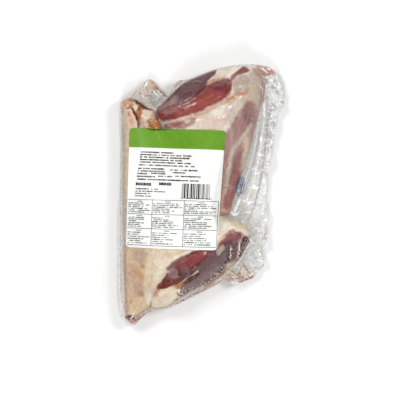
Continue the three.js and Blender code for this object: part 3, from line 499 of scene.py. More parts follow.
FILM_STROKES = [  # name, colour, half width, cover, height and path
    # Strokes in the white of creased film are painted highlights, and those in the grey of hollows painted shade.
    ("blood at the edge of the flap", "film_blood", 1, 0.95, 0.3,
     "-42.9 116.8 -45 114.1 -44.8 111.1 -42.5 108.6 -38.9 106 -34.2 103.3"),
    ("heart of that blood", "clot_and_cleft_shade", 0.6, 0.85, 0.2, "-45 115.3 -45.7 112.8 -44.2 110.3 -41 107.5"),
    ("pink beside that blood", "film_pink", 0.8, 0.85, 0.3,
     "-42.1 117.9 -43.1 115.3 -42.7 112.4 -40.6 110"),
    ("red line of the flap", "film_blood", 0.4, 0.7, 0.2, "-59.9 103.3 -58.6 104.6 -54.8 105 -51.2 104.3"),
    ("first spot of the flap", "film_blood", 0.9, 0.35, 0.2, "-64.7 108.3 -63.9 107.5"),
    ("second spot of the flap", "film_blood", 0.8, 0.35, 0.2, "-51.6 109.2 -50.8 107.9"),
    ("smear of the flap", "film_tan", 1.2, 0.85, 0.3, "-57.5 113.2 -57.1 110 -58.2 106.2"),
    ("light of the flap", "film_highlight", 0.9, 0.9, 0.8, "-56.5 120.6 -57.7 117.5 -60.1 114.3"),
    ("second light of the flap", "film_highlight", 0.7, 0.8, 0.6, "-61.6 105.4 -59.4 103 -56.9 102.2"),
    ("fold of the flap", "film_highlight", 0.6, 0.6, 0.7, "-49.5 111.1 -47.4 106.9 -43.1 104.1"),
    ("edge of the flap", "film_tan", 0.6, 0.7, 0.3,
     "-71.2 103.7 -69.1 110 -62.2 113 -56.9 121.5 -49.5 121.7"),
    ("foot of the flap", "film_tan", 1, 0.7, -0.2, "-63.3 99.4 -56.9 94.8 -51.6 91.4 -47.4 93.1"),
    ("blood in the curl", "film_blood", 0.5, 0.7, 0.3, "-28.3 113.6 -25.1 116.4 -20.9 119.2"),
    ("tip of the curl", "film_blood", 0.9, 0.5, 0.3, "-20.9 121.3 -19.4 120.6"),
    ("blood in the corner", "film_blood", 0.55, 0.6, 0.3, "58.1 135.9 61.8 132.7 65 128.1 67.1 125.1"),
    ("second blood in the corner", "film_pink", 0.9, 0.9, 0.3,
     "68.2 126.4 72.4 127.8 76.7 129.8 78.8 133.4"),
    ("dark line of the corner", "film_blood", 0.4, 0.75, 0.3, "58.6 129.1 61.2 125.5 63.9 122.8"),
    ("rusty line of the corner", "film_pink", 0.8, 0.85, 0.3, "66.5 128.1 68.4 122.8 69.9 117.5"),
    ("rusty end of the corner", "film_pink", 0.9, 0.7, 0.3, "72.4 132.3 77.7 128.5 79.2 125.9"),
    ("fold from the corner", "film_highlight", 0.9, 0.35, 0.8, "60.8 117.5 65 111.1 66.1 92 67.8 85.7"),
    ("second fold from the corner", "film_highlight", 0.7, 0.8, 0.6, "67.8 87.8 67.5 81.4"),
    ("long fold beside the shin", "film_highlight", 0.8, 0.6, 0.6,
     "68.2 100.5 66.1 68.7 61.8 39 55.5 13.6 48 -7.6"),
    ("second long fold beside the shin", "film_highlight", 0.6, 0.6, 0.5,
     "60.8 77.2 58.6 56 52.3 31.6 45.9 11.5 39.6 -9.7"),
    ("third long fold beside the shin", "film_highlight", 0.6, 0.5, 0.5,
     "65 79.3 61.8 47.5 55.5 26.3 50.2 5.1"),
    ("fourth long fold beside the shin", "film_shade", 0.9, 0.6, -0.4,
     "62.9 68.7 58.6 41.1 52.3 17.8 44.9 -1.3"),
    ("fifth long fold beside the shin", "film_shade", 0.9, 0.6, -0.4,
     "71.4 79.3 68.2 47.5 63.9 17.8 57.6 -9.7 50.2 -28.8"),
    ("bright fold at the shin end", "film_highlight", 1.3, 0.95, 0.8, "41.7 -5.5 37.9 -12.9 36 -19.3"),
    ("second bright fold at the shin end", "film_highlight", 1.1, 0.9, 0.7, "31.7 -18.6 35.3 -21 39.1 -19.3"),
    ("fold across the slack film", "film_highlight", 0.6, 0.3, 0.5,
     "39.6 -20.3 48 -17.2 58.6 -11.9 66.1 -8.7"),
    ("glint on the slack film", "film_highlight", 0.9, 0.9, 0.5, "43.8 -27.5 44.9 -28.8"),
    ("second fold across the slack film", "film_highlight", 0.7, 0.3, 0.6, "52.3 -33.1 60.8 -28.8 71.4 -22.5"),
    ("fold below the shoulder", "film_highlight", 0.8, 0.8, 0.6, "51.2 -45.8 54.4 -50 57.6 -52.1"),
    ("second fold below the shoulder", "film_highlight", 1, 0.8, 0.8, "52.3 -71.2 55.5 -75.5 59.7 -72.3"),
    ("pale folds below the stripe", "film_highlight", 0.7, 0.6, 0.5, "53.3 -49 48 -57.4 42.7 -67 35.3 -76.5"),
    ("second pale fold below the stripe", "film_highlight", 0.6, 0.6, 0.5, "56.5 -53.2 49.1 -64.9 40.6 -75.5"),
    ("third pale fold below the stripe", "film_pale", 0.9, 0.35, 0.5, "49.1 -64.9 41.7 -73.3 33.2 -79.7"),
    ("red side of the tail", "film_blood", 0.45, 0.75, 0.3, "43.4 -70.2 47.4 -76.5 51.2 -82.5 55.2 -87.1"),
    ("red foot of the tail", "film_blood", 0.7, 0.85, 0.3, "55.5 -86.7 49.1 -89.7 43.4 -91.8 39.6 -92.4"),
    ("fold of the tail", "film_highlight", 0.9, 0.55, 0.8, "35.3 -77.6 41.7 -76.9 45.9 -79.7 49.1 -85"),
    ("second fold of the tail", "film_highlight", 0.7, 0.5, 0.7, "30 -80.8 35.3 -85 42.7 -87.8"),
    ("brown arc of the tail", "fascia", 0.5, 0.7, -0.2, "38.1 -81.4 40.2 -84.4 44.4 -83.5"),
    ("second brown line of the tail", "fascia", 0.5, 0.6, -0.2, "33.2 -87.8 39.6 -89.2 45.9 -88.2"),
    ("stain on the foot of the film", "film_pink", 0.9, 0.5, 0.3,
     "-21.9 -114.7 -5 -107.3 9.9 -98.8 22.6 -90.3"),
    ("white on the foot of the film", "film_highlight", 0.7, 0.3, 0.4, "-15.6 -113.6 -0.7 -106.2 12 -99.8"),
    ("light on the left strip", "film_highlight", 0.9, 0.8, 0.3, "-81.7 -110.4 -82.8 -114.7 -82.8 -120"),
    ("light along the left strip", "film_highlight", 0.5, 0.5, 0.2,
     "-86.2 58.1 -86.6 -5.5 -86.6 -69.1 -85.5 -111.5"),
    ("dark line of the left strip", "film_shade", 0.7, 0.5, -0.1,
     "-84.2 79.3 -84.5 15.7 -84.5 -58.5 -83 -111.5 -79.2 -128.5"),
    ("blood along the tip", "film_blood", 1.1, 0.9, 0.3,
     "-70.3 -133.8 -65.4 -130.4 -60.1 -127.4 -52.7 -122.5"),
    ("stain on the hock", "film_pink", 0.7, 0.35, 0.3, "-83.9 89.9 -83.6 97.3 -80.2 101 -72.8 103.1"),
    ("blood in the tip", "muscle_deep", 2.9, 0.95, 0.3, "-78.1 -129.9 -74.9 -129.5 -71.1 -130.6"),
    ("heart of the blood in the tip", "muscle_deep", 1.2, 0.9, 0.2, "-73.9 -130.2 -72.2 -130.4"),
    ("pink below the tip", "film_pink", 1.2, 0.6, 0.2, "-73.9 -133.8 -70.7 -134.4"),
    ("brown line under the tail", "fascia", 0.5, 0.8, 0.2, "27.5 -83.5 31.1 -87.1 35.3 -90.3 39.6 -92.4"),
    ("brown line across the tail", "rust", 0.4, 0.6, 0.2, "32.1 -79.7 36.4 -83.5 40.6 -86.7 47 -87.1"),
    ("second brown line across the tail", "rust", 0.4, 0.55, 0.2, "42.3 -75.5 42.7 -79.7 39.6 -83.9"),
    ("rusty stain of the foot margin", "amber", 1.6, 0.5, 0.2, "3.5 -97.7 12 -92 19.4 -86.1 25.8 -80.3"),
    ("second stain of the foot margin", "fascia", 1.2, 0.5, 0.2, "-15.6 -108.3 -7.1 -104.1 1.4 -98.8"),
    ("blood running down the corner", "film_blood", 0.8, 0.9, 0.3,
     "67.8 118.5 67 111.1 66.1 103.7 64.8 95.2"),
    ("light in the corner", "film_highlight", 0.6, 0.7, 0.5, "61.8 134.4 67.1 132.3 71.4 129.1"),
    ("second light in the corner", "film_highlight", 0.5, 0.6, 0.4, "65 124.9 70.3 123.8 73.5 125.9"),
    ("broad glint beside the shin", "film_highlight", 1.3, 0.8, 0.5, "66.7 96.3 67.5 89.9 67.3 82.5"),
    ("glint of the slack film", "film_highlight", 1.4, 0.85, 0.5, "33.2 -17.8 37 -20.3 40.6 -18.6"),
    ("first dark spot of the foot", "rust", 0.9, 0.6, 0.2, "-20.9 -111.9 -17.7 -110.9"),
    ("second dark spot of the foot", "rust", 0.7, 0.55, 0.2, "-13.4 -109 -10.7 -107.5"),
    ("third dark spot of the foot", "rust", 0.8, 0.5, 0.2, "-5 -104.7 -1.8 -102.8"),
    ("fourth dark spot of the foot", "rust", 0.7, 0.5, 0.2, "5.6 -98.4 8.4 -96.2"),
    ("brown line along the foot", "rust", 0.4, 0.45, 0.2,
     "-26.2 -115.3 -15.6 -111.1 -5 -105.8 5.6 -98.8 16.2 -91.4"),
]

# ---- Print ----
# A row is its start, its end, the height of its strokes, their pitch, the share left out and how uneven
# they are.

PRINT_ROWS = [
    (-62.2, 45.1, -29.3, 43.8, 1.75, 1.3, 0.1, 0.42),
    (-63.3, 42.4, -10.3, 40.4, 1.75, 1.3, 0.1, 0.42),
    (-63.3, 39.9, -12.4, 37.9, 1.75, 1.3, 0.1, 0.42),
    (-63.3, 37.2, -19.8, 35.6, 1.75, 1.3, 0.1, 0.42),
    (-63.8, 34.6, -11.3, 32.6, 1.75, 1.3, 0.1, 0.42),
    (-64.3, 31.6, -7.1, 29.4, 1.75, 1.3, 0.1, 0.42),
    (-65.4, 27.9, -38.9, 26.9, 1.8, 1.35, 0.08, 0.4),
    (-65.4, 25.2, -36.8, 24.2, 1.8, 1.35, 0.08, 0.4),
    (-66.4, 22.5, -56.9, 22.1, 1.8, 1.35, 0.08, 0.4),
    (-51.6, 22.5, -37.8, 22, 1.8, 1.35, 0.08, 0.4),
    (-66.4, 19.5, -48.4, 18.9, 1.8, 1.35, 0.08, 0.4),
    (-44.2, 19.5, -30.4, 19, 1.8, 1.35, 0.08, 0.4),
    (-26.2, 19.5, -0.7, 18.6, 1.8, 1.35, 0.08, 0.4),
    (-66.4, 16.5, -2.8, 14.3, 1.8, 1.35, 0.08, 0.4),
    (-31.5, 26.1, -3.9, 25.1, 1.8, 1.35, 0.08, 0.4),
    (-29.3, 23.3, -16.6, 22.9, 1.8, 1.35, 0.08, 0.4),
    (-67.5, 11.5, -52.7, 10.9, 3.3, 1.6, 0.02, 0.3),
    (-43.1, 11.5, -31.5, 11, 3.3, 1.6, 0.02, 0.3),
    (-68, 6.5, -45.2, 5.7, 1.45, 1.2, 0.1, 0.45),
    (-68, 4, -37.8, 3, 1.45, 1.2, 0.1, 0.45),
    (-68.6, 1.6, -53.7, 1.1, 1.45, 1.2, 0.1, 0.45),
    (-68.6, -1, -52.7, -1.6, 1.45, 1.2, 0.1, 0.45),
]
BAR_CODE = (-19.6, 10.5, 10.6, -2.5)  # left, right, top and foot of the first bar
BAR_WIDTHS = [1, 1, 3, 1, 3, 0, 1, 3, 2, 2, 0, 2, 3, 1, 0, 1, 2, 1, 0, 1, 1, 1, 0, 1]
TABLE_CORNERS = ((-77, -4.7), (18.9, -7.2), (-78.1, -52.4), (16.2, -55.3))  # top left and right, foot left and right
TABLE_COLUMNS, TABLE_LINES = (0, 0.275, 0.625, 1), (0, 0.315, 0.63, 1)
INK_CENTRE, INK_HALF, INK_LEAN = (41.9, 8.8), (3.9, 9.9), math.radians(-12)

# ---- Colours, as red, green and blue on a screen ----

COLOURS = {
    "fat_white": ("White fat", 234, 226, 212),
    "fat_cream": ("Cream fat", 230, 215, 190),
    "fat_yellow": ("Yellow fat", 214, 191, 156),
    "fat_pink": ("Fat stained by blood", 192, 150, 130),
    "membrane": ("Thin silver skin", 186, 171, 158),
    "muscle_mauve": ("Muscle under silver skin", 166, 127, 121),
    "muscle_brown": ("Brown muscle", 138, 97, 92),
    "muscle_red": ("Red muscle", 140, 62, 62),
    # The bright red is the lit face of a red muscle: painted light.
    "muscle_red_lit": ("Red muscle with painted light", 150, 72, 64),
    "muscle_dark": ("Dark muscle", 88, 36, 39),
    "muscle_deep": ("Deep red muscle", 90, 20, 28),
    "muscle_wine": ("Wine red muscle", 130, 68, 73),
    "muscle_plum": ("Purple muscle", 104, 66, 72),
    "muscle_grey": ("Grey muscle", 106, 78, 80),
    # The rusty brown of creases is partly stain and partly painted shade.
    "rust": ("Rusty brown stain and painted shade in creases", 104, 48, 32),
    "bone": ("Knuckle", 180, 162, 149),
    "fascia": ("Rusty fascia", 198, 144, 112),
    "amber": ("Amber fat", 182, 110, 54),
    "glaze": ("Glazed film on muscle", 166, 135, 131),
    "blood": ("Blood", 152, 50, 40),
    # Clotted blood also stands in for the shade deep in clefts.
    "clot_and_cleft_shade": ("Clotted blood and painted shade deep in clefts", 46, 28, 31),
    "film_grey": ("Film", 236, 235, 230),
    "film_pale": ("Crumpled film", 252, 252, 250),
    # The white of creased film is a painted highlight.
    "film_highlight": ("Painted highlight on creased film", 255, 255, 253),
    # The grey of hollows in the film is painted shade.
    "film_shade": ("Painted shade in hollows of film", 190, 189, 184),
    "film_tan": ("Film over fat", 208, 182, 160),
    "film_flap": ("Film over skin", 210, 199, 190),
    "film_pink": ("Film wet with blood", 190, 128, 106),
    "film_blood": ("Blood in a fold of film", 150, 62, 54),
    "paper": ("Label paper", 248, 249, 246),
    "band": ("Band along the label", 102, 154, 28),
    "print": ("Print", 26, 26, 28),
    "ink": ("Ink mark on the film", 52, 56, 118),
    "floor": ("Floor", 246, 246, 246),
}


def linear(*channels):
    """A screen colour of 0 to 255 as the linear colour that Blender mixes."""
    share = np.array(channels, float) / 255
    return np.where(share <= 0.04045, share / 12.92, ((share + 0.055) / 1.055) ** 2.4).tolist()


# ---- Curves, noise and heights ----


def smooth_path(points, step, closed=True):
    """Points about one step apart on the smooth curve that goes through the given ones."""
    if isinstance(points, str):
        points = np.array(points.split(), float).reshape(-1, 2)
    p = np.asarray(points, float)
    if closed:
        p = np.vstack([p[-1:], p, p[:2]])
    else:
        p = np.vstack([2 * p[:1] - p[1:2], p, 2 * p[-1:] - p[-2:-1]])
    parts = []
    for a, b, c, d in zip(p, p[1:], p[2:], p[3:]):
        t1 = np.linalg.norm(b - a) ** 0.5
        t2 = t1 + np.linalg.norm(c - b) ** 0.5
        t3 = t2 + np.linalg.norm(d - c) ** 0.5
        t = np.linspace(t1, t2, 9)[:-1, None]
        ab, cd = ((t1 - t) * a + t * b) / t1, ((t3 - t) * c + (t - t2) * d) / (t3 - t2)
        bc = ((t2 - t) * b + (t - t1) * c) / (t2 - t1)
        abc, bcd = ((t2 - t) * ab + t * bc) / t2, ((t3 - t) * bc + (t - t1) * cd) / (t3 - t1)
        parts.append(((t2 - t) * abc + (t - t1) * bcd) / (t2 - t1))
    parts.append(parts[0][:1] if closed else p[-2:-1])
    curve = np.vstack(parts)
    run = np.concatenate([[0], np.cumsum(np.linalg.norm(np.diff(curve, axis=0), axis=1))])
    count = max(int(round(run[-1] / step)), 4)
    at = np.linspace(0, run[-1], count + 1)[: count if closed else None]
    return np.column_stack([np.interp(at, run, curve[:, k]) for k in (0, 1)])


def smoothstep(low, high, value):
    t = np.clip((value - low) / (high - low), 0, 1)
    return t * t * (3 - 2 * t)


def batches(count, width):
    """Slices of a long array, short enough for a table of the given width."""
    rows = max(60000 // width, 16)
    return [slice(k, k + rows) for k in range(0, count, rows)]


def inside(loop, points):
    """Which of the points lie inside the loop."""
    a, b = loop, np.roll(loop, -1, axis=0)
    rise = np.where(b[:, 1] == a[:, 1], 1e-12, b[:, 1] - a[:, 1])
    slant = (b[:, 0] - a[:, 0]) / rise
    found = np.zeros(len(points), bool)
    for few in batches(len(points), len(loop)):
        x, y = points[few, :1], points[few, 1:]
        crossed = ((a[:, 1] > y) != (b[:, 1] > y)) & (x < a[:, 0] + (y - a[:, 1]) * slant)
        found[few] = crossed.sum(1) % 2 == 1
    return found


def path_distance(path, points, closed):
    """How far each of a few points is from the path."""
    a, b = (path, np.roll(path, -1, axis=0)) if closed else (path[:-1], path[1:])
    along = b - a
    span = np.maximum((along ** 2).sum(1), 1e-9)
    found = np.empty(len(points))
    for few in batches(len(points), len(a)):
        x, y = points[few, :1] - a[:, 0], points[few, 1:] - a[:, 1]
        t = np.clip((x * along[:, 0] + y * along[:, 1]) / span, 0, 1)
        found[few] = np.sqrt(((x - t * along[:, 0]) ** 2 + (y - t * along[:, 1]) ** 2).min(1))
    return found


def rim_distance(loop, points):
    """How far each of many points is from the loop, and the nearest point on it."""
    dense = np.vstack([loop + (np.roll(loop, -1, axis=0) - loop) * t for t in (0, 0.25, 0.5, 0.75)])
    tree = KDTree(len(dense))
    for k, (x, y) in enumerate(dense):
        tree.insert((x, y, 0), k)
    tree.balance()
    hits = [tree.find((x, y, 0)) for x, y in points]
    return np.array([h[2] for h in hits]), dense[[h[1] for h in hits]]


def noise(points, size, seed):
    """Smooth gradient noise from about -1 to 1, with bumps of the given size in millimetres."""
    angles = np.random.default_rng(seed).random((256, 256)) * 2 * math.pi
    p = np.asarray(points, float) / size + 1000
    cell = np.floor(p).astype(int)
    f = p - cell
    fade = f ** 3 * (f * (f * 6 - 15) + 10)

    def corner(i, j):
        angle = angles[(cell[:, 0] + i) % 256, (cell[:, 1] + j) % 256]
        return np.cos(angle) * (f[:, 0] - i) + np.sin(angle) * (f[:, 1] - j)

    low = corner(0, 0) + fade[:, 0] * (corner(1, 0) - corner(0, 0))
    high = corner(0, 1) + fade[:, 0] * (corner(1, 1) - corner(0, 1))
    return 1.5 * (low + fade[:, 1] * (high - low))


def crumple(points, size, seed):
    """Sharp ridges and flat facets, as crushed film has, from about -1 to 1."""
    shift = np.column_stack([noise(points, size * 2.3, seed + 1), noise(points, size * 2.3, seed + 2)])
    bent = points + shift * size * 0.8
    coarse = 1 - 3 * np.abs(noise(bent, size * 1.6, seed + 3))
    fine = 1 - 3 * np.abs(noise(bent + 31, size * 0.8, seed + 4))
    return 0.65 * coarse + 0.35 * fine


class HeightMap:
    """Heights over an even grid of the plan, in millimetres, read by straight interpolation."""

    STEP = 1.0

    def __init__(self, low, values):
        self.low, self.values = np.asarray(low, float), values

    def __call__(self, points):
        at = (points - self.low) / self.STEP
        cell = np.clip(np.floor(at).astype(int), 0, np.array(self.values.shape) - 2)
        f = np.clip(at - cell, 0, 1)
        i, j = cell.T
        v = self.values
        low = v[i, j] * (1 - f[:, 0]) + v[i + 1, j] * f[:, 0]
        high = v[i, j + 1] * (1 - f[:, 0]) + v[i + 1, j + 1] * f[:, 0]
        return low * (1 - f[:, 1]) + high * f[:, 1]


def blurred(values, reach):
    """The grid of values blurred by a bell curve of the given reach in cells."""
    width = int(3 * reach)
    bell = np.exp(-0.5 * (np.arange(-width, width + 1) / reach) ** 2)
    bell /= bell.sum()
    for axis in (0, 1):
        edge = np.pad(values, [(width, width) if k == axis else (0, 0) for k in (0, 1)], mode="edge")
        values = sum(w * np.take(edge, range(k, k + values.shape[axis]), axis=axis)
                     for k, w in enumerate(bell))
    return values


def grown(values, known):
    """The grid with each unknown cell given the mean of its known neighbours, from the edge outwards."""
    values, known = values.copy(), known.copy()
    while not known.all():
        total, count = np.zeros_like(values), np.zeros_like(values)
        wide_v, wide_k = np.pad(values * known, 1), np.pad(known.astype(float), 1)
        for i in range(3):
            for j in range(3):
                total += wide_v[i:i + values.shape[0], j:j + values.shape[1]]
                count += wide_k[i:i + values.shape[0], j:j + values.shape[1]]
        fresh = ~known & (count > 0)
        values[fresh] = total[fresh] / count[fresh]
        known |= fresh
    return values


@lru_cache(None)
def film_heights():
    """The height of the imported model's upper and under side over the plan."""
    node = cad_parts[BAG_NODE].data
    tree = BVHTree.FromPolygons([v.co / MM for v in node.vertices], [p.vertices for p in node.polygons])
    low, high = (np.array(corner[:2]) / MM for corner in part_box(BAG_NODE))
    low = np.floor(low) - 3
    size = (np.ceil(high) + 3 - low).astype(int) + 1
    maps = []
    for start, way in ((500, -1), (-500, 1)):
        values, known = np.zeros(size), np.zeros(size, bool)
        for i in range(size[0]):
            for j in range(size[1]):
                hit = tree.ray_cast(Vector((low[0] + i, low[1] + j, start)), Vector((0, 0, way)))[0]
                if hit:
                    values[i, j], known[i, j] = hit.z, True
        maps.append(HeightMap(low, blurred(grown(values, known), FACET_BLUR)))
    return maps


FACET_BLUR = 1.8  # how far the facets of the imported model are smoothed
SEAM_HEIGHT = 11  # where a shank is widest


@lru_cache(None)
def outline(name):
    """The smooth outline of one piece, as points half a millimetre to one millimetre apart."""
    if name == "bag":
        return smooth_path(np.array(BAG_OUTLINE) + OUTLINE_SHIFT, 1.0)
    return smooth_path(UPPER_OUTLINE if name == "upper" else LOWER_OUTLINE, 0.9)


@lru_cache(None)
def depth_map(name):
    """How far inside an outline each point of the plan is, below 0 outside it."""
    low, shape = film_heights()[0].low, film_heights()[0].values.shape
    points = np.column_stack([a.ravel() for a in np.indices(shape)]) * HeightMap.STEP + low
    reach = rim_distance(outline(name), points)[0] * np.where(inside(outline(name), points), 1, -1)
    return HeightMap(low, reach.reshape(shape))


@lru_cache(None)
def label_loop():
    """The label's outline, with round corners."""
    corners = np.array(LABEL_CORNERS) + OUTLINE_SHIFT
    points = []
    for before, corner, after in zip(np.roll(corners, 1, axis=0), corners, np.roll(corners, -1, axis=0)):
        a = corner + (before - corner) / np.linalg.norm(before - corner) * LABEL_RADIUS
        b = corner + (after - corner) / np.linalg.norm(after - corner) * LABEL_RADIUS
        for t in np.linspace(0, 1, 5)[:, None]:
            points.append((1 - t) ** 2 * a + 2 * t * (1 - t) * corner + t ** 2 * b)
        run = after - corner
        edge = np.linalg.norm(run) - 2 * LABEL_RADIUS
        for t in np.linspace(0, 1, int(edge / LABEL_LATTICE))[1:-1, None]:
            points.append(b + t * run * edge / np.linalg.norm(run))
    return np.vstack(points)


LABEL_LATTICE = 1.6
MEAT_LATTICE, FILM_LATTICE = (0.68, 1.5), (0.82, 1.8)  # above and below


# ---- Meshes ----


def lattice(loop, step):
    """An even triangular lattice of points inside the loop, clear of its edge."""
    low, high = loop.min(0), loop.max(0)
    x = np.arange(low[0], high[0], step * math.sqrt(3) / 2)
    y = np.arange(low[1], high[1], step)
    shift = (np.arange(len(x)) % 2)[:, None] * step / 2
    points = np.column_stack([np.repeat(x, len(y)), (y[None, :] + shift).ravel()])
    points = points[inside(loop, points)]
    reach, foot = rim_distance(loop, points)
    clear = reach > 0.55 * step
    return points[clear], reach[clear], foot[clear]


def triangles(rim, inner):
    """Triangles over the rim and the points inside it, each anticlockwise from above."""
    count = len(rim)
    points = np.vstack([rim, inner])
    made = delaunay_2d_cdt([Vector(p) for p in points], [(k, (k + 1) % count) for k in range(count)], [],
                           1, 1e-6, True)
    if len(made[0]) != len(points):
        raise RuntimeError("two points of a sheet fall together")
    back = np.array([origin[0] for origin in made[3]])
    faces = back[np.array(made[2])]
    a, b, c = (points[faces[:, k]] for k in range(3))
    turn = (b[:, 0] - a[:, 0]) * (c[:, 1] - a[:, 1]) - (b[:, 1] - a[:, 1]) * (c[:, 0] - a[:, 0])
    faces[turn < 0] = faces[turn < 0][:, ::-1]
    return faces


def solid_faces(rim, above, below, wall=False):
    """Faces of a closed solid over one rim, or over an upper and an under rim with a wall between."""
    count, extra = len(rim), len(above)
    upper = triangles(rim, above)
    under = triangles(rim, below)[:, ::-1]
    under = under + np.where(under < count, count + extra if wall else 0, extra + (count if wall else 0))
    faces = [upper, under]
    if not wall:
        # A corner of the rim that both sheets would close with the same triangle is left off.
        flat = [{tuple(sorted(f)) for f in sheet if max(f) < count} for sheet in faces]
        twice = flat[0] & flat[1]
        faces = [np.array([f for f in sheet if tuple(sorted(f)) not in twice]) for sheet in faces]
    if wall:
        k = np.arange(count)
        n, base = (k + 1) % count, count + extra
        faces += [np.column_stack([k, k + base, n + base]), np.column_stack([k, n + base, n])]
    return np.vstack(faces)


def new_mesh(name, points, faces, material, smooth=True, **attributes):
    """A new object from points in millimetres. Each attribute is a number or a colour for every point."""
    mesh = bpy.data.meshes.new(name)
    used, numbers = np.unique(faces, return_inverse=True)
    faces, points = numbers.reshape(-1, 3), np.asarray(points)[used]
    mesh.from_pydata((points * MM).tolist(), [], faces.tolist())
    if mesh.validate():
        raise RuntimeError(f"{name} has a faulty face")
    for key, values in attributes.items():
        values = np.asarray(values, np.float32)[used]
        if values.ndim == 1:
            mesh.attributes.new(key, "FLOAT", "POINT").data.foreach_set("value", values)
        elif values.shape[1] == 3:
            mesh.attributes.new(key, "FLOAT_VECTOR", "POINT").data.foreach_set("vector", values.ravel())
        else:
            mesh.attributes.new(key, "FLOAT_COLOR", "POINT").data.foreach_set("color", values.ravel())
    mesh.polygons.foreach_set("use_smooth", [smooth] * len(mesh.polygons))
    mesh.materials.append(material)
    made = bpy.data.objects.new(name, mesh)
    bpy.context.scene.collection.objects.link(made)
    return made


def placed(piece, node):
    """Hangs the piece on the body that it rides on, and hides the imported part that it stands for."""
    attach(piece, BODY)
    if node:
        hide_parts(node)


# ---- Tissue over the plan ----


def palette(key):
    return np.array(getattr(bpy.context.scene.lamb_pack_colours, key))


def near(path, points, margin):
    """Which points lie in the path's box, with a margin round it."""
    return ((points > path.min(0) - margin) & (points < path.max(0) + margin)).all(1)


def patch_weight(path, points, softness, waviness, seed):
    """How far each point is inside a patch with a soft and wavy edge, from 0 to 1."""
    reach = path_distance(path, points, True) * np.where(inside(path, points), 1, -1)
    reach += waviness * (noise(points, 5, seed) + 0.5 * noise(points, 2, seed + 1))
    return smoothstep(-softness, softness, reach)


def stroke_weight(path, points, half, seed):
    """How strongly a stroke that thins towards its ends covers each point, from 0 to 1."""
    reach = path_distance(path, points, False) + 0.3 * half * noise(points, 2.5, seed)
    ends = np.minimum(*(np.linalg.norm(points - path[k], axis=1) for k in (0, -1)))
    return 1 - smoothstep(0.6 * half, 1.4 * half, reach / (0.55 + 0.45 * smoothstep(0, 4, ends)))


def painted(points, base, patches, strokes):
    """The colour, leanness, direction of fibres and relief that the patches and strokes give each point."""
    colour = np.tile(palette(base)[:3], (len(points), 1))
    lean, grain, relief = np.zeros(len(points)), np.zeros(len(points)), np.zeros(len(points))
    for seed, (_, key, softness, waviness, strength, angle, height, path) in enumerate(patches):
        loop = smooth_path(path, 0.9)
        close = near(loop, points, softness + 2 * waviness)
        if not close.any():
            continue
        weight = patch_weight(loop, points[close], softness, waviness, 100 + 7 * seed) * strength
        colour[close] += (palette(key)[:3] - colour[close]) * weight[:, None]
        is_lean = key.startswith("muscle") or (key == "glaze" and angle is not None)
        lean[close] += (float(is_lean) - lean[close]) * weight
        relief[close] += height * weight
        if angle is not None:
            grain[close] = np.where(weight > 0.3 * strength, math.radians(angle), grain[close])
    for seed, (_, key, half, strength, height, path) in enumerate(strokes):
        line = smooth_path(path, 0.8, closed=False)
        close = near(line, points, 2 * half + 1)
        if not close.any():
            continue
        weight = stroke_weight(line, points[close], half, 900 + 5 * seed)
        colour[close] += (palette(key)[:3] - colour[close]) * (weight * strength)[:, None]
        relief[close] += height * weight
    return colour, lean, grain, relief


def pleats(points, colour, relief):
    """Adds the short dark and pale pleats that cross the serrated paths, in place: the dark ones sink and carry
    painted shade, the pale ones rise and carry painted highlight.
    """
    draw = np.random.default_rng(17)
    for _, half, length, spacing, height, path in SERRATIONS:
        line = smooth_path(path, spacing, closed=False)
        way = np.gradient(line, axis=0)
        way /= np.linalg.norm(way, axis=1)[:, None]
        for k, (foot, along) in enumerate(zip(line, way)):
            lean = draw.normal(0, 0.55)
            across = np.array([-along[1] - lean * along[0], along[0] - lean * along[1]])
            reach = length * draw.uniform(0.35, 1.2) / 2
            shift = draw.normal(0, 0.7, 2)
            tick = np.array([foot + shift - across * reach, foot + shift + along * 0.4, foot + shift + across * reach])
            close = near(tick, points, 3 * half)
            if not close.any():
                continue
            weight = stroke_weight(tick, points[close], half, 700 + k)
            # A sunk pleat is painted shade, a raised one a painted highlight.
            key, rise = (("clot_and_cleft_shade", -height), ("film_pale", height))[k % 2]
            strength = draw.uniform(0.75, 1) * (0.55 if k % 2 else 1)
            colour[close] += (palette(key)[:3] - colour[close]) * (weight * strength)[:, None]
            relief[close] += rise * weight


def wandering(points):
    """The points moved a little, so that nothing painted at them has an even edge."""
    coarse = np.column_stack([noise(points, 8, 31), noise(points, 8, 32)])
    fine = np.column_stack([noise(points, 2.8, 33), noise(points, 2.8, 34)])
    return points + 0.7 * coarse + 0.45 * fine


def tissue(which, points):
    """What is painted over one shank, with the soft lumps of its fat."""
    at = wandering(points)
    if which == "upper":
        made = painted(at, "fat_white", UPPER_PATCHES, UPPER_STROKES)
    else:
        made = painted(at, "fat_yellow", LOWER_PATCHES, LOWER_STROKES)
    colour, lean, grain, relief = made
    if which == "lower":
        pleats(points, colour, relief)
    lumps = 0.45 * noise(points, 13, 41) + 0.22 * noise(points, 5.5, 42) * (1 - lean)
    return colour, lean, grain, relief + lumps


@lru_cache(None)
def relief_map():
    """The relief of both shanks on an even grid, softened as the film that spans it is."""
    low, shape = film_heights()[0].low, film_heights()[0].values.shape
    points = np.column_stack([a.ravel() for a in np.indices(shape)]) * HeightMap.STEP + low
    total = np.zeros(len(points))
    for which in ("upper", "lower"):
        found = depth_map(which)(points) > 0
        total[found] = tissue(which, points[found])[3]
    return HeightMap(low, blurred(total.reshape(shape), 1.2))


def under_label(points, margin):
    """1 under the label and 0 away from it, with a soft edge as wide as the margin."""
    reach = path_distance(label_loop(), points, True) * np.where(inside(label_loop(), points), 1, -1)
    return smoothstep(-margin, 0, reach)


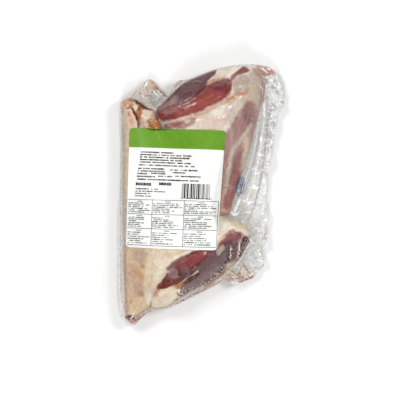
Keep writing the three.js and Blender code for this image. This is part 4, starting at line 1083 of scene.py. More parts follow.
def shank_mesh(which, material, sizes):
    """One shank: its outline with a rounded flank, up to the film above and down to the film below."""
    rim = outline(which)
    flank, gap = sizes.flank / MM, sizes.film_gap / MM
    top, under = film_heights()
    parts = []
    for step in MEAT_LATTICE:
        points, reach, foot = lattice(rim, step)
        turn = np.minimum(reach / flank, 1) * math.pi / 2
        drawn = np.where(reach < flank, flank * (1 - np.cos(turn)), reach)
        parts.append((foot + (points - foot) * (drawn / reach)[:, None], np.sin(turn), reach))
    (above, rise, _), (below, fall, depth) = parts
    faces = solid_faces(rim, above, below)
    plan = np.vstack([rim, above, below])
    colour, lean, grain, relief = tissue(which, plan)
    n, m = len(rim), len(rim) + len(above)
    z = np.full(len(plan), float(SEAM_HEIGHT))
    relief[:n] = 0
    z[n:m] += rise * (top(above) - gap - SEAM_HEIGHT) + relief[n:m] * rise
    z[m:] -= fall * (SEAM_HEIGHT - under(below) - gap - (0.1 if which == "lower" else 0))
    # The underside isn't seen in the photograph: broad muscles under a cover of fat.
    blotch = smoothstep(-0.15, 0.35, noise(below, 30, 51) + 0.3 * noise(below, 9, 52))
    hidden = palette("fat_white")[:3] * (1 - blotch[:, None]) + palette("muscle_mauve")[:3] * blotch[:, None]
    share = smoothstep(0, flank, depth)
    colour[m:] += (hidden - colour[m:]) * share[:, None]
    lean[m:] += (blotch - lean[m:]) * share
    along = plan[:, 0] * np.cos(grain) + plan[:, 1] * np.sin(grain)
    across = plan[:, 1] * np.cos(grain) - plan[:, 0] * np.sin(grain)
    colour = np.column_stack([colour, np.ones(len(colour))])
    return new_mesh(f"shank_{which}", np.column_stack([plan, z]), faces, material, tissue=colour, lean=lean,
                    fibre=np.column_stack([along, across, z]))


def film_mesh(material, sizes):
    """The bag: two sheets drawn over the meat, that meet crumpled at the rim."""
    rim = outline("bag")
    above, _, _ = lattice(rim, FILM_LATTICE[0])
    below, _, _ = lattice(rim, FILM_LATTICE[1])
    faces = solid_faces(rim, above, below)
    plan = np.vstack([rim, above, below])
    n, m = len(rim), len(rim) + len(above)
    top, under = film_heights()

    over_meat = np.zeros(len(plan))
    for which in ("upper", "lower"):
        over_meat = np.maximum(over_meat, smoothstep(-0.5, 3, depth_map(which)(plan)))
    bare = 1 - over_meat
    tint = np.tile(palette("film_grey")[:3], (len(plan), 1))
    cover = sizes.cover_on_meat + (sizes.cover_of_skirt - sizes.cover_on_meat) * bare
    slack = 0.02 + 0.36 * bare
    relief = np.zeros(len(plan))
    for seed, (_, key, share, height, softness, waviness, path) in enumerate(FILM_ZONES):
        loop = smooth_path(path, 1)
        close = near(loop, plan, softness + 2 * waviness)
        weight = patch_weight(loop, plan[close], softness, waviness, 300 + 7 * seed)
        weight *= 0.12 + 0.88 * bare[close]
        tint[close] += (palette(key)[:3] - tint[close]) * weight[:, None]
        cover[close] += (share - cover[close]) * weight
        slack[close] += (height - slack[close]) * weight
    paper = under_label(plan, 6)
    slack *= 1 - paper
    crease = crumple(plan, sizes.crumple / MM, 61)
    # Painted highlight makes the ridges whiter, and painted shade makes the hollows between them darker.
    for key, share in (("film_highlight", smoothstep(0.3, 0.85, crease)), ("film_shade", smoothstep(0.1, -0.7, crease))):
        share *= bare * np.minimum(slack, 1.2) / 1.2 * 0.75
        tint += (palette(key)[:3] - tint) * share[:, None]
        cover += (0.85 - cover) * share * 0.5
    for seed, (_, key, half, share, height, path) in enumerate(FILM_STROKES):
        line = smooth_path(path, 0.8, closed=False)
        close = near(line, plan, 2 * half + 1)
        weight = stroke_weight(line, plan[close], half, 500 + 5 * seed)
        tint[close] += (palette(key)[:3] - tint[close]) * weight[:, None]
        cover[close] += (share - cover[close]) * weight
        relief[close] += height * weight
    # Fine pale creases of painted highlight run over the meat where the film isn't quite tight.
    loose = smoothstep(0.05, 0.6, noise(plan, 16, 66)) * over_meat * (1 - paper)
    line = 1 - smoothstep(0.02, 0.13, np.abs(noise(plan + crumple(plan, 9, 68)[:, None], 7, 67)))
    tint += (palette("film_highlight")[:3] - tint) * (line * loose)[:, None]
    cover = np.clip(cover + 0.16 * line * loose, 0.005, 0.95)
    relief += 0.25 * line * loose

    z = np.empty(len(plan))
    lift = slack * crease + relief * (1 - paper)
    z[:n] = (top(rim) + under(rim)) / 2 + lift[:n]
    z[n:m] = top(above) + lift[n:m]
    z[m:] = under(below) + np.minimum(slack[m:], 0.6) * crease[m:]
    # The film follows the lumps of the meat, and stays clear of it.
    z[n:m] += relief_map()(above) * over_meat[n:m] * (1 - paper[n:m])
    z[m:] = np.maximum(z[m:], 0.02)
    tint = np.column_stack([tint, np.ones(len(tint))])
    return new_mesh("film_bag", np.column_stack([plan, z]), faces, material, tint=tint, cover=cover,
                    slack=np.clip(slack, 0, 1))


def label_mesh(material, sizes):
    """The label: a thin sheet with its own flat map, that lies on the film."""
    rim = label_loop()
    inner, _, _ = lattice(rim, LABEL_LATTICE)
    faces = solid_faces(rim, inner, inner, wall=True)
    plan = np.vstack([rim, inner])
    wave = 0.10 * noise(plan, 17, 71) + 0.05 * crumple(plan, 9, 72)
    base = film_heights()[0](plan) + sizes.paper_gap / MM + 0.15 + wave
    points = np.vstack([np.column_stack([plan, base + sizes.paper_thickness / MM]),
                        np.column_stack([plan, base])])
    piece = new_mesh("label_sheet", points, faces, material)
    mesh = piece.data
    mesh.set_sharp_from_angle(angle=math.radians(40))
    place = label_place(np.vstack([plan, plan]))
    flat = mesh.uv_layers.new(name="label_map")
    corner = np.zeros(len(mesh.loops), np.int32)
    mesh.loops.foreach_get("vertex_index", corner)
    flat.data.foreach_set("uv", place[corner].astype(np.float32).ravel())
    return piece


def label_place(points):
    """Where each point is on the label, from its left foot corner at 0, 0 to its right top at 1, 1."""
    left_top, right_top, right_foot, left_foot = np.array(LABEL_CORNERS) + OUTLINE_SHIFT
    place = np.full((len(points), 2), 0.5)
    for _ in range(6):
        u, v = place[:, :1], place[:, 1:]
        at = (left_foot * (1 - u) + right_foot * u) * (1 - v) + (left_top * (1 - u) + right_top * u) * v
        along = (right_foot - left_foot) * (1 - v) + (right_top - left_top) * v
        up = (left_top - left_foot) * (1 - u) + (right_top - right_foot) * u
        miss = points - at
        size = along[:, 0] * up[:, 1] - along[:, 1] * up[:, 0]
        place[:, 0] += (miss[:, 0] * up[:, 1] - miss[:, 1] * up[:, 0]) / size
        place[:, 1] += (along[:, 0] * miss[:, 1] - along[:, 1] * miss[:, 0]) / size
    return place


# ---- Node trees ----


def add_node(tree, kind, inputs=None, **settings):
    """A new node with its settings, its inputs set by name or number, from values or other sockets."""
    made = tree.nodes.new(kind)
    made.location = (180 * (len(tree.nodes) % 12), -220 * (len(tree.nodes) // 12))
    for key, value in settings.items():
        setattr(made, key, value)
    for key, value in (inputs or {}).items():
        if isinstance(value, bpy.types.NodeSocket):
            tree.links.new(value, made.inputs[key])
        else:
            made.inputs[key].default_value = value
    return made


def calculated(tree, operation, *values):
    return add_node(tree, "ShaderNodeMath", dict(enumerate(values)), operation=operation).outputs[0]


def mixed(tree, share, first, second, blend="MIX"):
    return add_node(tree, "ShaderNodeMix", {0: share, 6: first, 7: second}, data_type="RGBA",
                    blend_type=blend).outputs[2]


def remapped(tree, value, low, high, new_low, new_high):
    return add_node(tree, "ShaderNodeMapRange", {"Value": value, "From Min": low, "From Max": high,
                                                 "To Min": new_low, "To Max": new_high}).outputs[0]


def noise_node(tree, place, scale, detail=3.0, rough=0.55, bend=0.0):
    return add_node(tree, "ShaderNodeTexNoise", {"Vector": place, "Scale": scale, "Detail": detail,
                                                 "Roughness": rough, "Distortion": bend}).outputs[0]


def object_place(tree):
    """Object coordinates in millimetres."""
    coordinates = add_node(tree, "ShaderNodeTexCoord").outputs["Object"]
    return add_node(tree, "ShaderNodeVectorMath", {0: coordinates, "Scale": 1 / MM},
                    operation="SCALE").outputs[0]


def attribute(tree, name, output):
    return add_node(tree, "ShaderNodeAttribute", attribute_name=name).outputs[output]


@lru_cache(None)
def shared_group(name):
    """One of the effects that several materials use, built once."""
    tree = bpy.data.node_groups.new(name, "ShaderNodeTree")
    sockets = {
        "cling_creases": [("Place", "Vector"), ("Size", "Float"), ("Sharpness", "Float")],
        "fine_mottle": [("Place", "Vector"), ("Size", "Float"), ("Spread", "Float")],
    }[name]
    for label, kind in sockets:
        tree.interface.new_socket(label, in_out="INPUT", socket_type="NodeSocket" + kind)
    tree.interface.new_socket("Value", in_out="OUTPUT", socket_type="NodeSocketFloat")
    given = add_node(tree, "NodeGroupInput")
    scale = calculated(tree, "DIVIDE", 1, given.outputs["Size"])
    if name == "cling_creases":
        bend = add_node(tree, "ShaderNodeTexNoise", {"Vector": given.outputs["Place"], "Scale": scale,
                                                     "Detail": 2.0})
        shift = add_node(tree, "ShaderNodeVectorMath", {0: bend.outputs["Color"], "Scale": 1.6},
                         operation="SCALE").outputs[0]
        place = add_node(tree, "ShaderNodeVectorMath",
                         {0: add_node(tree, "ShaderNodeVectorMath", {0: given.outputs["Place"], "Scale": scale},
                                      operation="SCALE").outputs[0], 1: shift}, operation="ADD").outputs[0]
        edges = add_node(tree, "ShaderNodeTexVoronoi", {"Vector": place, "Scale": 1.0},
                         feature="DISTANCE_TO_EDGE").outputs["Distance"]
        crease = add_node(tree, "ShaderNodeMapRange", {"Value": edges, "From Max": given.outputs["Sharpness"],
                                                       "To Min": 1.0, "To Max": 0.0},
                          interpolation_type="SMOOTHSTEP").outputs[0]
        swell = noise_node(tree, place, 0.7, 2.0)
        result = calculated(tree, "MULTIPLY_ADD", crease, swell, calculated(tree, "MULTIPLY", swell, 0.6))
    else:
        value = noise_node(tree, given.outputs["Place"], scale, 2.0, 0.5)
        result = add_node(tree, "ShaderNodeMapRange", {
            "Value": value, "From Min": 0.3, "From Max": 0.7,
            "To Min": calculated(tree, "SUBTRACT", 1, given.outputs["Spread"]),
            "To Max": calculated(tree, "ADD", 1, given.outputs["Spread"])}).outputs[0]
    add_node(tree, "NodeGroupOutput", {"Value": result})
    return tree


def effect(tree, name, place, size, amount):
    """A shared effect placed in a material with its own size and amount."""
    inputs = {"Place": place, "Size": size, {"cling_creases": "Sharpness", "fine_mottle": "Spread"}[name]: amount}
    made = tree.nodes.new("ShaderNodeGroup")
    made.node_tree = shared_group(name)
    for key, value in inputs.items():
        if isinstance(value, bpy.types.NodeSocket):
            tree.links.new(value, made.inputs[key])
        else:
            made.inputs[key].default_value = value
    return made.outputs[0]


def toned(tree, colour, tone):
    """The colour made lighter or darker by the tone, which is about 1."""
    grey = add_node(tree, "ShaderNodeCombineColor", {0: tone, 1: tone, 2: tone}).outputs[0]
    return mixed(tree, 1.0, colour, grey, "MULTIPLY")


def new_material(name):
    """An empty node material with its surface shader."""
    material = bpy.data.materials.new(name)
    material.use_nodes = True
    tree = material.node_tree
    tree.nodes.clear()
    shader = add_node(tree, "ShaderNodeBsdfPrincipled")
    add_node(tree, "ShaderNodeOutputMaterial", {"Surface": shader.outputs[0]})
    return material, tree, shader


def join(tree, shader, **sockets):
    for key, value in sockets.items():
        tree.links.new(value, shader.inputs[key.replace("_", " ")])


def bump(tree, height, distance=MM, strength=1.0):
    """A normal from a height in millimetres."""
    return add_node(tree, "ShaderNodeBump", {"Height": height, "Distance": distance,
                                             "Strength": strength}).outputs[0]


def own_colour(key):
    return (*palette(key)[:3], 1)


# ---- Materials ----


@lru_cache(None)
def raw_lamb():
    """Moist raw lamb: fat with soft lobes and stains, muscle with fibres, and film clinging to it."""
    material, tree, shader = new_material("raw_lamb")
    place = object_place(tree)
    colour, lean = attribute(tree, "tissue", "Color"), attribute(tree, "lean", "Fac")
    fibre = attribute(tree, "fibre", "Vector")
    fat = calculated(tree, "SUBTRACT", 1, lean)

    strands = noise_node(tree, add_node(tree, "ShaderNodeVectorMath", {0: fibre, 1: (0.09, 1.0, 0.5)},
                                        operation="MULTIPLY").outputs[0], 0.42, 2.5, 0.6, 0.6)
    strand_tone = remapped(tree, strands, 0.3, 0.7, -0.2, 0.2)
    lobes = add_node(tree, "ShaderNodeTexVoronoi", {"Vector": place, "Scale": 0.28, "Smoothness": 0.6},
                     feature="SMOOTH_F1").outputs["Distance"]
    broad = noise_node(tree, place, 0.055, 3.0, 0.55)
    medium = noise_node(tree, place, 0.22, 4.0, 0.6)
    # Blood has seeped through the fat in faint clouds, and muscle is darker in some places.
    stain = calculated(tree, "MULTIPLY", remapped(tree, broad, 0.5, 0.7, 0, 0.4), fat)
    colour = mixed(tree, stain, colour, own_colour("fat_pink"))
    yellow = calculated(tree, "MULTIPLY", remapped(tree, medium, 0.52, 0.75, 0, 0.5), fat)
    colour = mixed(tree, yellow, colour, own_colour("fat_yellow"))
    flecks = noise_node(tree, add_node(tree, "ShaderNodeVectorMath", {0: fibre, 1: (0.3, 1.0, 0.6)},
                                       operation="MULTIPLY").outputs[0], 0.3, 3.0, 0.6, 1.2)
    pale = calculated(tree, "MULTIPLY", remapped(tree, flecks, 0.6, 0.74, 0, 0.3), lean)
    colour = mixed(tree, pale, colour, own_colour("glaze"))
    tone = calculated(tree, "MULTIPLY_ADD", strand_tone, lean, effect(tree, "fine_mottle", place, 3.5, 0.07))
    tone = calculated(tree, "MULTIPLY", tone, remapped(tree, medium, 0.3, 0.7, 0.88, 1.08))
    join(tree, shader, Base_Color=toned(tree, colour, tone))

    wet = noise_node(tree, place, 0.35, 3.0, 0.6)
    join(tree, shader, Roughness=remapped(tree, wet, 0.3, 0.7, 0.1, 0.24))
    height = calculated(tree, "MULTIPLY", calculated(tree, "MULTIPLY", strands, 0.28), lean)
    height = calculated(tree, "MULTIPLY_ADD", calculated(tree, "MULTIPLY", lobes, fat), 0.04, height)
    cling = effect(tree, "cling_creases", place, 6.5, 0.1)
    height = calculated(tree, "MULTIPLY_ADD", cling, 0.45, height)
    join(tree, shader, Normal=bump(tree, height))
    shader.inputs["Specular IOR Level"].default_value = 0.2
    shader.inputs["Coat Weight"].default_value = 0.2
    shader.inputs["Coat Roughness"].default_value = 0.07
    shader.inputs["Subsurface Weight"].default_value = 0.12
    shader.inputs["Subsurface Radius"].default_value = (1.0, 0.35, 0.25)
    shader.inputs["Subsurface Scale"].default_value = 0.0025
    return material


@lru_cache(None)
def clear_film():
    """Clear film: hardly seen where it clings to the meat, milky and glittering where it is crumpled."""
    material, tree, shader = new_material("clear_film")
    place = object_place(tree)
    tint, cover = attribute(tree, "tint", "Color"), attribute(tree, "cover", "Fac")
    slack = attribute(tree, "slack", "Fac")
    creases = effect(tree, "cling_creases", place, 3.2, 0.14)
    mottle = effect(tree, "fine_mottle", place, 2.2, 0.22)
    join(tree, shader, Base_Color=toned(tree, tint, effect(tree, "fine_mottle", place, 1.6, 0.08)))
    ridges = calculated(tree, "MULTIPLY", remapped(tree, creases, 0.35, 0.95, 0, 0.4), slack)
    alpha = calculated(tree, "MULTIPLY_ADD", cover, mottle, ridges)
    join(tree, shader, Alpha=add_node(tree, "ShaderNodeClamp", {"Value": alpha, "Max": 0.97}).outputs[0])
    join(tree, shader, Roughness=remapped(tree, mottle, 0.8, 1.2, 0.08, 0.24))
    height = calculated(tree, "MULTIPLY", creases, remapped(tree, slack, 0, 1, 0.16, 0.7))
    join(tree, shader, Normal=bump(tree, height))
    shader.inputs["Specular IOR Level"].default_value = 1.0
    shader.inputs["Coat Weight"].default_value = 1.0
    shader.inputs["Coat Roughness"].default_value = 0.06
    return material


@lru_cache(None)
def label_paper():
    """White coated paper with a flat green band along its upper edge, flecked with painted glare."""
    material, tree, shader = new_material("label_paper")
    place = object_place(tree)
    flat = add_node(tree, "ShaderNodeUVMap", uv_map="label_map").outputs[0]
    across = add_node(tree, "ShaderNodeSeparateXYZ", {0: flat}).outputs[1]
    specks = noise_node(tree, place, 0.9, 2.0, 0.6)
    band = remapped(tree, across, BAND_FOOT - 0.002, BAND_FOOT + 0.002, 0, 1)
    # Pale flecks of painted glare in the green band.
    glare_flecks = remapped(tree, specks, 0.68, 0.8, 1, 0.6)
    paper = toned(tree, own_colour("paper"), effect(tree, "fine_mottle", place, 9, 0.02))
    green = toned(tree, own_colour("band"), effect(tree, "fine_mottle", place, 5, 0.06))
    join(tree, shader, Base_Color=mixed(tree, calculated(tree, "MULTIPLY", band, glare_flecks), paper, green))
    join(tree, shader, Roughness=remapped(tree, specks, 0.3, 0.7, 0.4, 0.55))
    grain = noise_node(tree, place, 3.0, 3.0, 0.6)
    bend = effect(tree, "cling_creases", place, 14, 0.05)
    join(tree, shader, Normal=bump(tree, calculated(tree, "MULTIPLY_ADD", grain, 0.015,
                                                   calculated(tree, "MULTIPLY", bend, 0.12))))
    shader.inputs["Specular IOR Level"].default_value = 0.4
    return material


BAND_FOOT = 0.838


@lru_cache(None)
def printed(key, name):
    """Ink that is a little uneven, in one of the print's colours."""
    material, tree, shader = new_material(name)
    place = object_place(tree)
    worn = effect(tree, "fine_mottle", place, 1.1, 0.35)
    join(tree, shader, Base_Color=toned(tree, own_colour(key), worn))
    join(tree, shader, Roughness=remapped(tree, worn, 0.6, 1.4, 0.5, 0.7))
    join(tree, shader, Normal=bump(tree, calculated(tree, "MULTIPLY", worn, 0.01)))
    return material


@lru_cache(None)
def pale_floor():
    """A plain pale matt floor."""
    material, tree, shader = new_material("pale_floor")
    place = object_place(tree)
    join(tree, shader, Base_Color=toned(tree, own_colour("floor"), effect(tree, "fine_mottle", place, 90, 0.006)))
    shader.inputs["Roughness"].default_value = 0.8
    shader.inputs["Specular IOR Level"].default_value = 0.1
    return material


# ---- Print by geometry nodes ----


@lru_cache(None)
def print_tree():
    """A tree that cuts each edge of a piece into blocks and lays them on a surface below."""
    tree = bpy.data.node_groups.new("print_on_surface", "GeometryNodeTree")
    for label, kind in (("Rows", "Geometry"), ("Surface", "Object"), ("Thickness", "Float"), ("Seed", "Int"),
                        ("Ink", "Material")):
        tree.interface.new_socket(label, in_out="INPUT", socket_type="NodeSocket" + kind)
    tree.interface.new_socket("Print", in_out="OUTPUT", socket_type="NodeSocketGeometry")
    given = add_node(tree, "NodeGroupInput")

    def read(name):
        return add_node(tree, "GeometryNodeInputNamedAttribute", {"Name": name}, data_type="FLOAT").outputs[0]

    def chance(low, high, shift):
        seed = calculated(tree, "ADD", given.outputs["Seed"], shift)
        return add_node(tree, "FunctionNodeRandomValue", {2: low, 3: high, "Seed": seed},
                        data_type="FLOAT").outputs[1]

    curves = add_node(tree, "GeometryNodeMeshToCurve", {"Mesh": given.outputs["Rows"]}).outputs[0]
    blocks = add_node(tree, "GeometryNodeResampleCurve", {"Curve": curves, "Length": read("pitch")},
                      mode="LENGTH").outputs[0]
    kept = add_node(tree, "FunctionNodeCompare", {0: chance(0.0, 1.0, 1), 1: read("gaps")}, data_type="FLOAT",
                    operation="GREATER_EQUAL").outputs[0]
    turned = add_node(tree, "FunctionNodeAlignRotationToVector",
                      {"Vector": add_node(tree, "GeometryNodeInputTangent").outputs[0]}, axis="X").outputs[0]
    uneven = read("uneven")

    def shrunk(size, share, shift):
        less = calculated(tree, "MULTIPLY", calculated(tree, "MULTIPLY", uneven, share), chance(0.0, 1.0, shift))
        return calculated(tree, "MULTIPLY", size, calculated(tree, "SUBTRACT", 1, less))

    size = add_node(tree, "ShaderNodeCombineXYZ", {
        0: shrunk(calculated(tree, "MULTIPLY", read("pitch"), 1.03), 0.9, 2),
        1: shrunk(read("high"), 0.8, 3), 2: given.outputs["Thickness"]}).outputs[0]
    block = add_node(tree, "GeometryNodeMeshCube", {"Size": (1, 1, 1)}).outputs[0]
    laid = add_node(tree, "GeometryNodeInstanceOnPoints", {
        "Points": blocks, "Selection": kept, "Instance": block, "Rotation": turned, "Scale": size}).outputs[0]
    real = add_node(tree, "GeometryNodeRealizeInstances", {0: laid}).outputs[0]
    surface = add_node(tree, "GeometryNodeObjectInfo", {"Object": given.outputs["Surface"]}).outputs["Geometry"]
    place = add_node(tree, "GeometryNodeInputPosition").outputs[0]
    high = add_node(tree, "ShaderNodeVectorMath", {0: place, 1: (0, 0, 0.5)}, operation="ADD").outputs[0]
    ray = add_node(tree, "GeometryNodeRaycast", {"Target Geometry": surface, "Source Position": high,
                                                 "Ray Direction": (0, 0, -1), "Ray Length": 1.0})
    fall = add_node(tree, "ShaderNodeSeparateXYZ", {0: ray.outputs["Hit Position"]}).outputs[2]
    drop = add_node(tree, "ShaderNodeCombineXYZ", {2: fall}).outputs[0]
    lying = add_node(tree, "GeometryNodeSetPosition", {"Geometry": real, "Offset": drop}).outputs[0]
    inked = add_node(tree, "GeometryNodeSetMaterial", {"Geometry": lying, "Material": given.outputs["Ink"]}).outputs[0]
    add_node(tree, "NodeGroupOutput", {"Print": inked})
    return tree


def print_piece(name, rows, surface, material, thickness, seed):
    """A plain mesh of blocks along the rows, each with its ends, height, pitch, gaps and unevenness."""
    rows = np.array(rows, float)
    mesh = bpy.data.meshes.new(name + "_rows")
    ends = rows[:, :4].reshape(-1, 2) * MM
    mesh.from_pydata([(x, y, 0) for x, y in ends], [(2 * k, 2 * k + 1) for k in range(len(rows))], [])
    for key, column, unit in (("high", 4, MM), ("pitch", 5, MM), ("gaps", 6, 1), ("uneven", 7, 1)):
        mesh.attributes.new(key, "FLOAT", "POINT").data.foreach_set("value", np.repeat(rows[:, column] * unit, 2))
    holder = bpy.data.objects.new(name + "_rows", mesh)
    bpy.context.scene.collection.objects.link(holder)
    modifier = holder.modifiers.new("print", "NODES")
    modifier.node_group = print_tree()
    given = {"Surface": surface, "Thickness": thickness, "Seed": seed, "Ink": material}
    for socket in modifier.node_group.interface.items_tree:
        if socket.name in given:
            modifier[socket.identifier] = given[socket.name]
    graph = bpy.context.evaluated_depsgraph_get()
    made = bpy.data.meshes.new_from_object(holder.evaluated_get(graph), depsgraph=graph)
    holder.modifiers.remove(modifier)
    bpy.data.objects.remove(holder)
    if not made.polygons:
        raise RuntimeError(f"{name} came out empty")
    made.name = name
    for left in list(made.attributes):
        if left.name in ("high", "pitch", "gaps", "uneven"):
            made.attributes.remove(left)
    piece = bpy.data.objects.new(name, made)
    bpy.context.scene.collection.objects.link(piece)
    return piece


def table_rows():
    """The lines of the table on the label, and the rows of small print in its cells."""
    top_left, top_right, foot_left, foot_right = (np.array(p) for p in TABLE_CORNERS)
    draw = np.random.default_rng(8)

    def at(u, v):
        return (top_left * (1 - u) + top_right * u) * (1 - v) + (foot_left * (1 - u) + foot_right * u) * v

    # The lines stop short of the label's edge, because half a block stands past each end.
    rows = [(*at(0.018, v), *at(0.98, v), 0.55, 3.0, 0, 0) for v in TABLE_LINES]
    rows += [(*at(u, 0.02), *at(u, 0.965), 0.5, 3.0, 0, 0) for u in TABLE_COLUMNS[1:]]
    for left, right in zip(TABLE_COLUMNS, TABLE_COLUMNS[1:]):
        for top, foot in zip(TABLE_LINES, TABLE_LINES[1:]):
            middle = (left + right) / 2
            step = (foot - top) / 8
            rows.append((*at(middle - 0.025, top + step * 0.9), *at(middle + 0.02, top + step * 0.9),
                         1.3, 1.1, 0, 0.35))
            for line in range(2, 8):
                share = draw.choice([0.35, 0.55, 0.7, 0.85, 0.97], p=[0.12, 0.18, 0.25, 0.25, 0.2])
                start, end = left + 0.012, left + 0.012 + (right - left - 0.03) * share
                v = top + step * (line - 0.05)
                rows.append((*at(start, v), *at(end, v), 1.25, 1.0, 0.14, 0.5))
    return rows


def bar_rows():
    """The bars of the machine-readable block, and the small blocks under it."""
    left, right, top, foot = BAR_CODE
    rows, x = [], left
    unit = (right - left) / (sum(w + 1 for w in BAR_WIDTHS))
    for width in BAR_WIDTHS:
        if width:
            shift = (x - left) * 0.035
            middle = x + unit * width / 2
            rows.append((middle, top - shift, middle - 0.5, foot - shift, unit * width, 2.6, 0, 0))
        x += unit * (width + 1)
    lean = (right - left) * 0.035
    rows.append((left - 2.2, foot - 1.1, right, foot - 1.1 - lean, 1.1, 1.9, 0.1, 0.5))
    return rows


def ink_rows():
    """An oval of ink with three rows of blocks across it."""
    turn = np.linspace(0, 2 * math.pi, 25)
    loop = np.column_stack([np.cos(turn) * INK_HALF[0], np.sin(turn) * INK_HALF[1]])
    c, s = math.cos(INK_LEAN), math.sin(INK_LEAN)
    spin = np.array([[c, -s], [s, c]])

    def at(x, y):
        return np.array(INK_CENTRE) + spin @ np.array([x, y])

    rows = [(*at(*a), *at(*b), 0.8, np.linalg.norm(b - a), 0.08, 0.2) for a, b in zip(loop, loop[1:])]
    for x, half in ((-2.2, 4), (-0.2, 7.5), (1.7, 6)):
        rows.append((*at(x, -half), *at(x, half), 1.7, 1.7, 0.1, 0.5))
    return rows


# ---- What a user would change ----


class PackSizes(bpy.types.PropertyGroup):
    film_gap: bpy.props.FloatProperty(
        name="Film gap", description="Room between the meat and the film's upper side", default=0.45 * MM,
        min=0.1 * MM, unit="LENGTH")
    flank: bpy.props.FloatProperty(
        name="Flank", description="How far in from its outline a shank reaches its full height",
        default=7 * MM, min=2 * MM, unit="LENGTH")
    crumple: bpy.props.FloatProperty(
        name="Crumples", description="Size of the crumples of slack film", default=4.6 * MM, min=1.5 * MM,
        unit="LENGTH")
    cover_on_meat: bpy.props.FloatProperty(
        name="Cover on meat", description="How much the film that clings to the meat hides",
        default=0.005, min=0, max=1, subtype="FACTOR")
    cover_of_skirt: bpy.props.FloatProperty(
        name="Cover of skirt", description="How much each sheet of slack film hides",
        default=0.34, min=0, max=1, subtype="FACTOR")
    paper_gap: bpy.props.FloatProperty(
        name="Label gap", description="Room between the film and the label", default=0.1 * MM, min=0,
        unit="LENGTH")
    paper_thickness: bpy.props.FloatProperty(
        name="Label thickness", description="Thickness of the label", default=0.3 * MM, min=0.05 * MM,
        unit="LENGTH")
    print_thickness: bpy.props.FloatProperty(
        name="Print thickness", description="Thickness of the printed blocks", default=0.16 * MM,
        min=0.02 * MM, unit="LENGTH")


class PackColours(bpy.types.PropertyGroup):
    """One colour for each kind of tissue, film, paper and ink."""


for colour_key, (colour_name, *channels) in COLOURS.items():
    PackColours.__annotations__[colour_key] = bpy.props.FloatVectorProperty(
        name=colour_name, description=f"Colour of: {colour_name.lower()}", default=linear(*channels),
        subtype="COLOR", size=3, min=0, max=1)


# ---- Operators ----


class PackOperator:
    bl_options = {"REGISTER"}

    def execute(self, context):
        self.build(context.scene.lamb_pack_sizes)
        return {"FINISHED"}


class LAMB_OT_upper_shank(PackOperator, bpy.types.Operator):
    """Add the shank whose thick head is at the top of the pack"""

    bl_idname, bl_label = "lamb_pack.upper_shank", "Upper shank"

    def build(self, sizes):
        placed(shank_mesh("upper", raw_lamb(), sizes), None)


class LAMB_OT_lower_shank(PackOperator, bpy.types.Operator):
    """Add the shank that lies the other way round, with its hock at the top of the pack"""

    bl_idname, bl_label = "lamb_pack.lower_shank", "Lower shank"

    def build(self, sizes):
        placed(shank_mesh("lower", raw_lamb(), sizes), None)


class LAMB_OT_film(PackOperator, bpy.types.Operator):
    """Add the clear bag, drawn tight over the meat and crumpled round it"""

    bl_idname, bl_label = "lamb_pack.film", "Film bag"

    def build(self, sizes):
        placed(film_mesh(clear_film(), sizes), BAG_NODE)


class LAMB_OT_label(PackOperator, bpy.types.Operator):
    """Add the paper label and its print"""

    bl_idname, bl_label = "lamb_pack.label", "Label and print"

    def build(self, sizes):
        sheet = label_mesh(label_paper(), sizes)
        placed(sheet, LABEL_NODE)
        rows = PRINT_ROWS + table_rows() + bar_rows()
        ink = printed("print", "label_print")
        placed(print_piece("label_print", rows, sheet, ink, sizes.print_thickness, 3), None)


class LAMB_OT_ink_mark(PackOperator, bpy.types.Operator):
    """Add the oval mark of blue ink on the film"""

    bl_idname, bl_label = "lamb_pack.ink_mark", "Ink mark"

    def build(self, sizes):
        ink, film = printed("ink", "film_ink"), bpy.data.objects["film_bag"]
        placed(print_piece("ink_mark", ink_rows(), film, ink, sizes.print_thickness, 5), None)


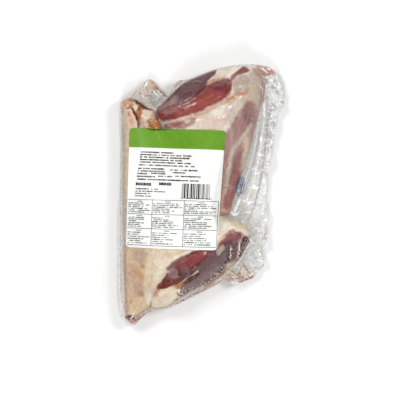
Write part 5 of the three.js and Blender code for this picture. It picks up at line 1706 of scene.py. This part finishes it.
class LAMB_OT_stage(PackOperator, bpy.types.Operator):
    """Add the floor, the light and the camera"""

    bl_idname, bl_label = "lamb_pack.stage", "Stage"

    def build(self, sizes):
        mesh = bpy.data.meshes.new("floor")
        half, low = 4.0, -0.0003
        mesh.from_pydata([(-half, -half, low), (half, -half, low), (half, half, low), (-half, half, low)], [],
                         [(0, 1, 2, 3)])
        mesh.materials.append(pale_floor())
        floor = bpy.data.objects.new("floor", mesh)
        bpy.context.scene.collection.objects.link(floor)

        world = bpy.data.worlds.new("studio")
        world.use_nodes = True
        world.node_tree.nodes["Background"].inputs[0].default_value = (1.0, 1.0, 1.0, 1)
        world.node_tree.nodes["Background"].inputs[1].default_value = WORLD_LIGHT
        bpy.context.scene.world = world
        for name, place, size, power in LIGHTS:
            light = bpy.data.lights.new(name, "AREA")
            light.shape, light.size, light.energy = "SQUARE", size, power
            lamp = bpy.data.objects.new(name, light)
            lamp.location = place
            lamp.rotation_euler = (-Vector(place)).to_track_quat("-Z", "Y").to_euler()
            bpy.context.scene.collection.objects.link(lamp)

        data = bpy.data.cameras.new("camera")
        data.lens, data.sensor_width, data.clip_end = 200, 36, 20
        camera = bpy.data.objects.new("camera", data)
        camera.location = CAMERA_PLACE
        bpy.context.scene.collection.objects.link(camera)
        bpy.context.scene.camera = camera
        bpy.context.scene.view_settings.view_transform = "Standard"


WORLD_LIGHT = 0.3
LIGHTS = [  # name, place, size and power
    ("key", (-0.8, 0.6, 0.95), 0.4, 8.8),
    ("fill", (0.9, 0.35, 0.95), 0.4, 8.0),
    ("foot", (-0.1, -1.0, 0.9), 0.4, 6.8),
]
CAMERA_PLACE = (-0.00072, -0.0055, 2.3656)


# ---- Panel ----


class LAMB_PT_pack(bpy.types.Panel):
    """Lists what the pack is made from"""

    bl_idname, bl_label = "LAMB_PT_pack", "Lamb pack"
    bl_space_type, bl_region_type, bl_category = "VIEW_3D", "UI", "Lamb pack"

    def draw(self, context):
        for operator in OPERATORS:
            self.layout.operator(operator.bl_idname)
        for group in (context.scene.lamb_pack_sizes, context.scene.lamb_pack_colours):
            for key in type(group).__annotations__:
                self.layout.prop(group, key)


OPERATORS = (LAMB_OT_upper_shank, LAMB_OT_lower_shank, LAMB_OT_film, LAMB_OT_label, LAMB_OT_ink_mark,
             LAMB_OT_stage)
CLASSES = (PackSizes, PackColours, *OPERATORS, LAMB_PT_pack)


def register():
    for made in CLASSES:
        bpy.utils.register_class(made)
    bpy.types.Scene.lamb_pack_sizes = bpy.props.PointerProperty(type=PackSizes)
    bpy.types.Scene.lamb_pack_colours = bpy.props.PointerProperty(type=PackColours)


def unregister():
    del bpy.types.Scene.lamb_pack_sizes, bpy.types.Scene.lamb_pack_colours
    for made in reversed(CLASSES):
        bpy.utils.unregister_class(made)


def main():
    register()
    for operator in OPERATORS:
        group, name = operator.bl_idname.split(".")
        getattr(getattr(bpy.ops, group), name)()


if __name__ == "__main__":
    main()
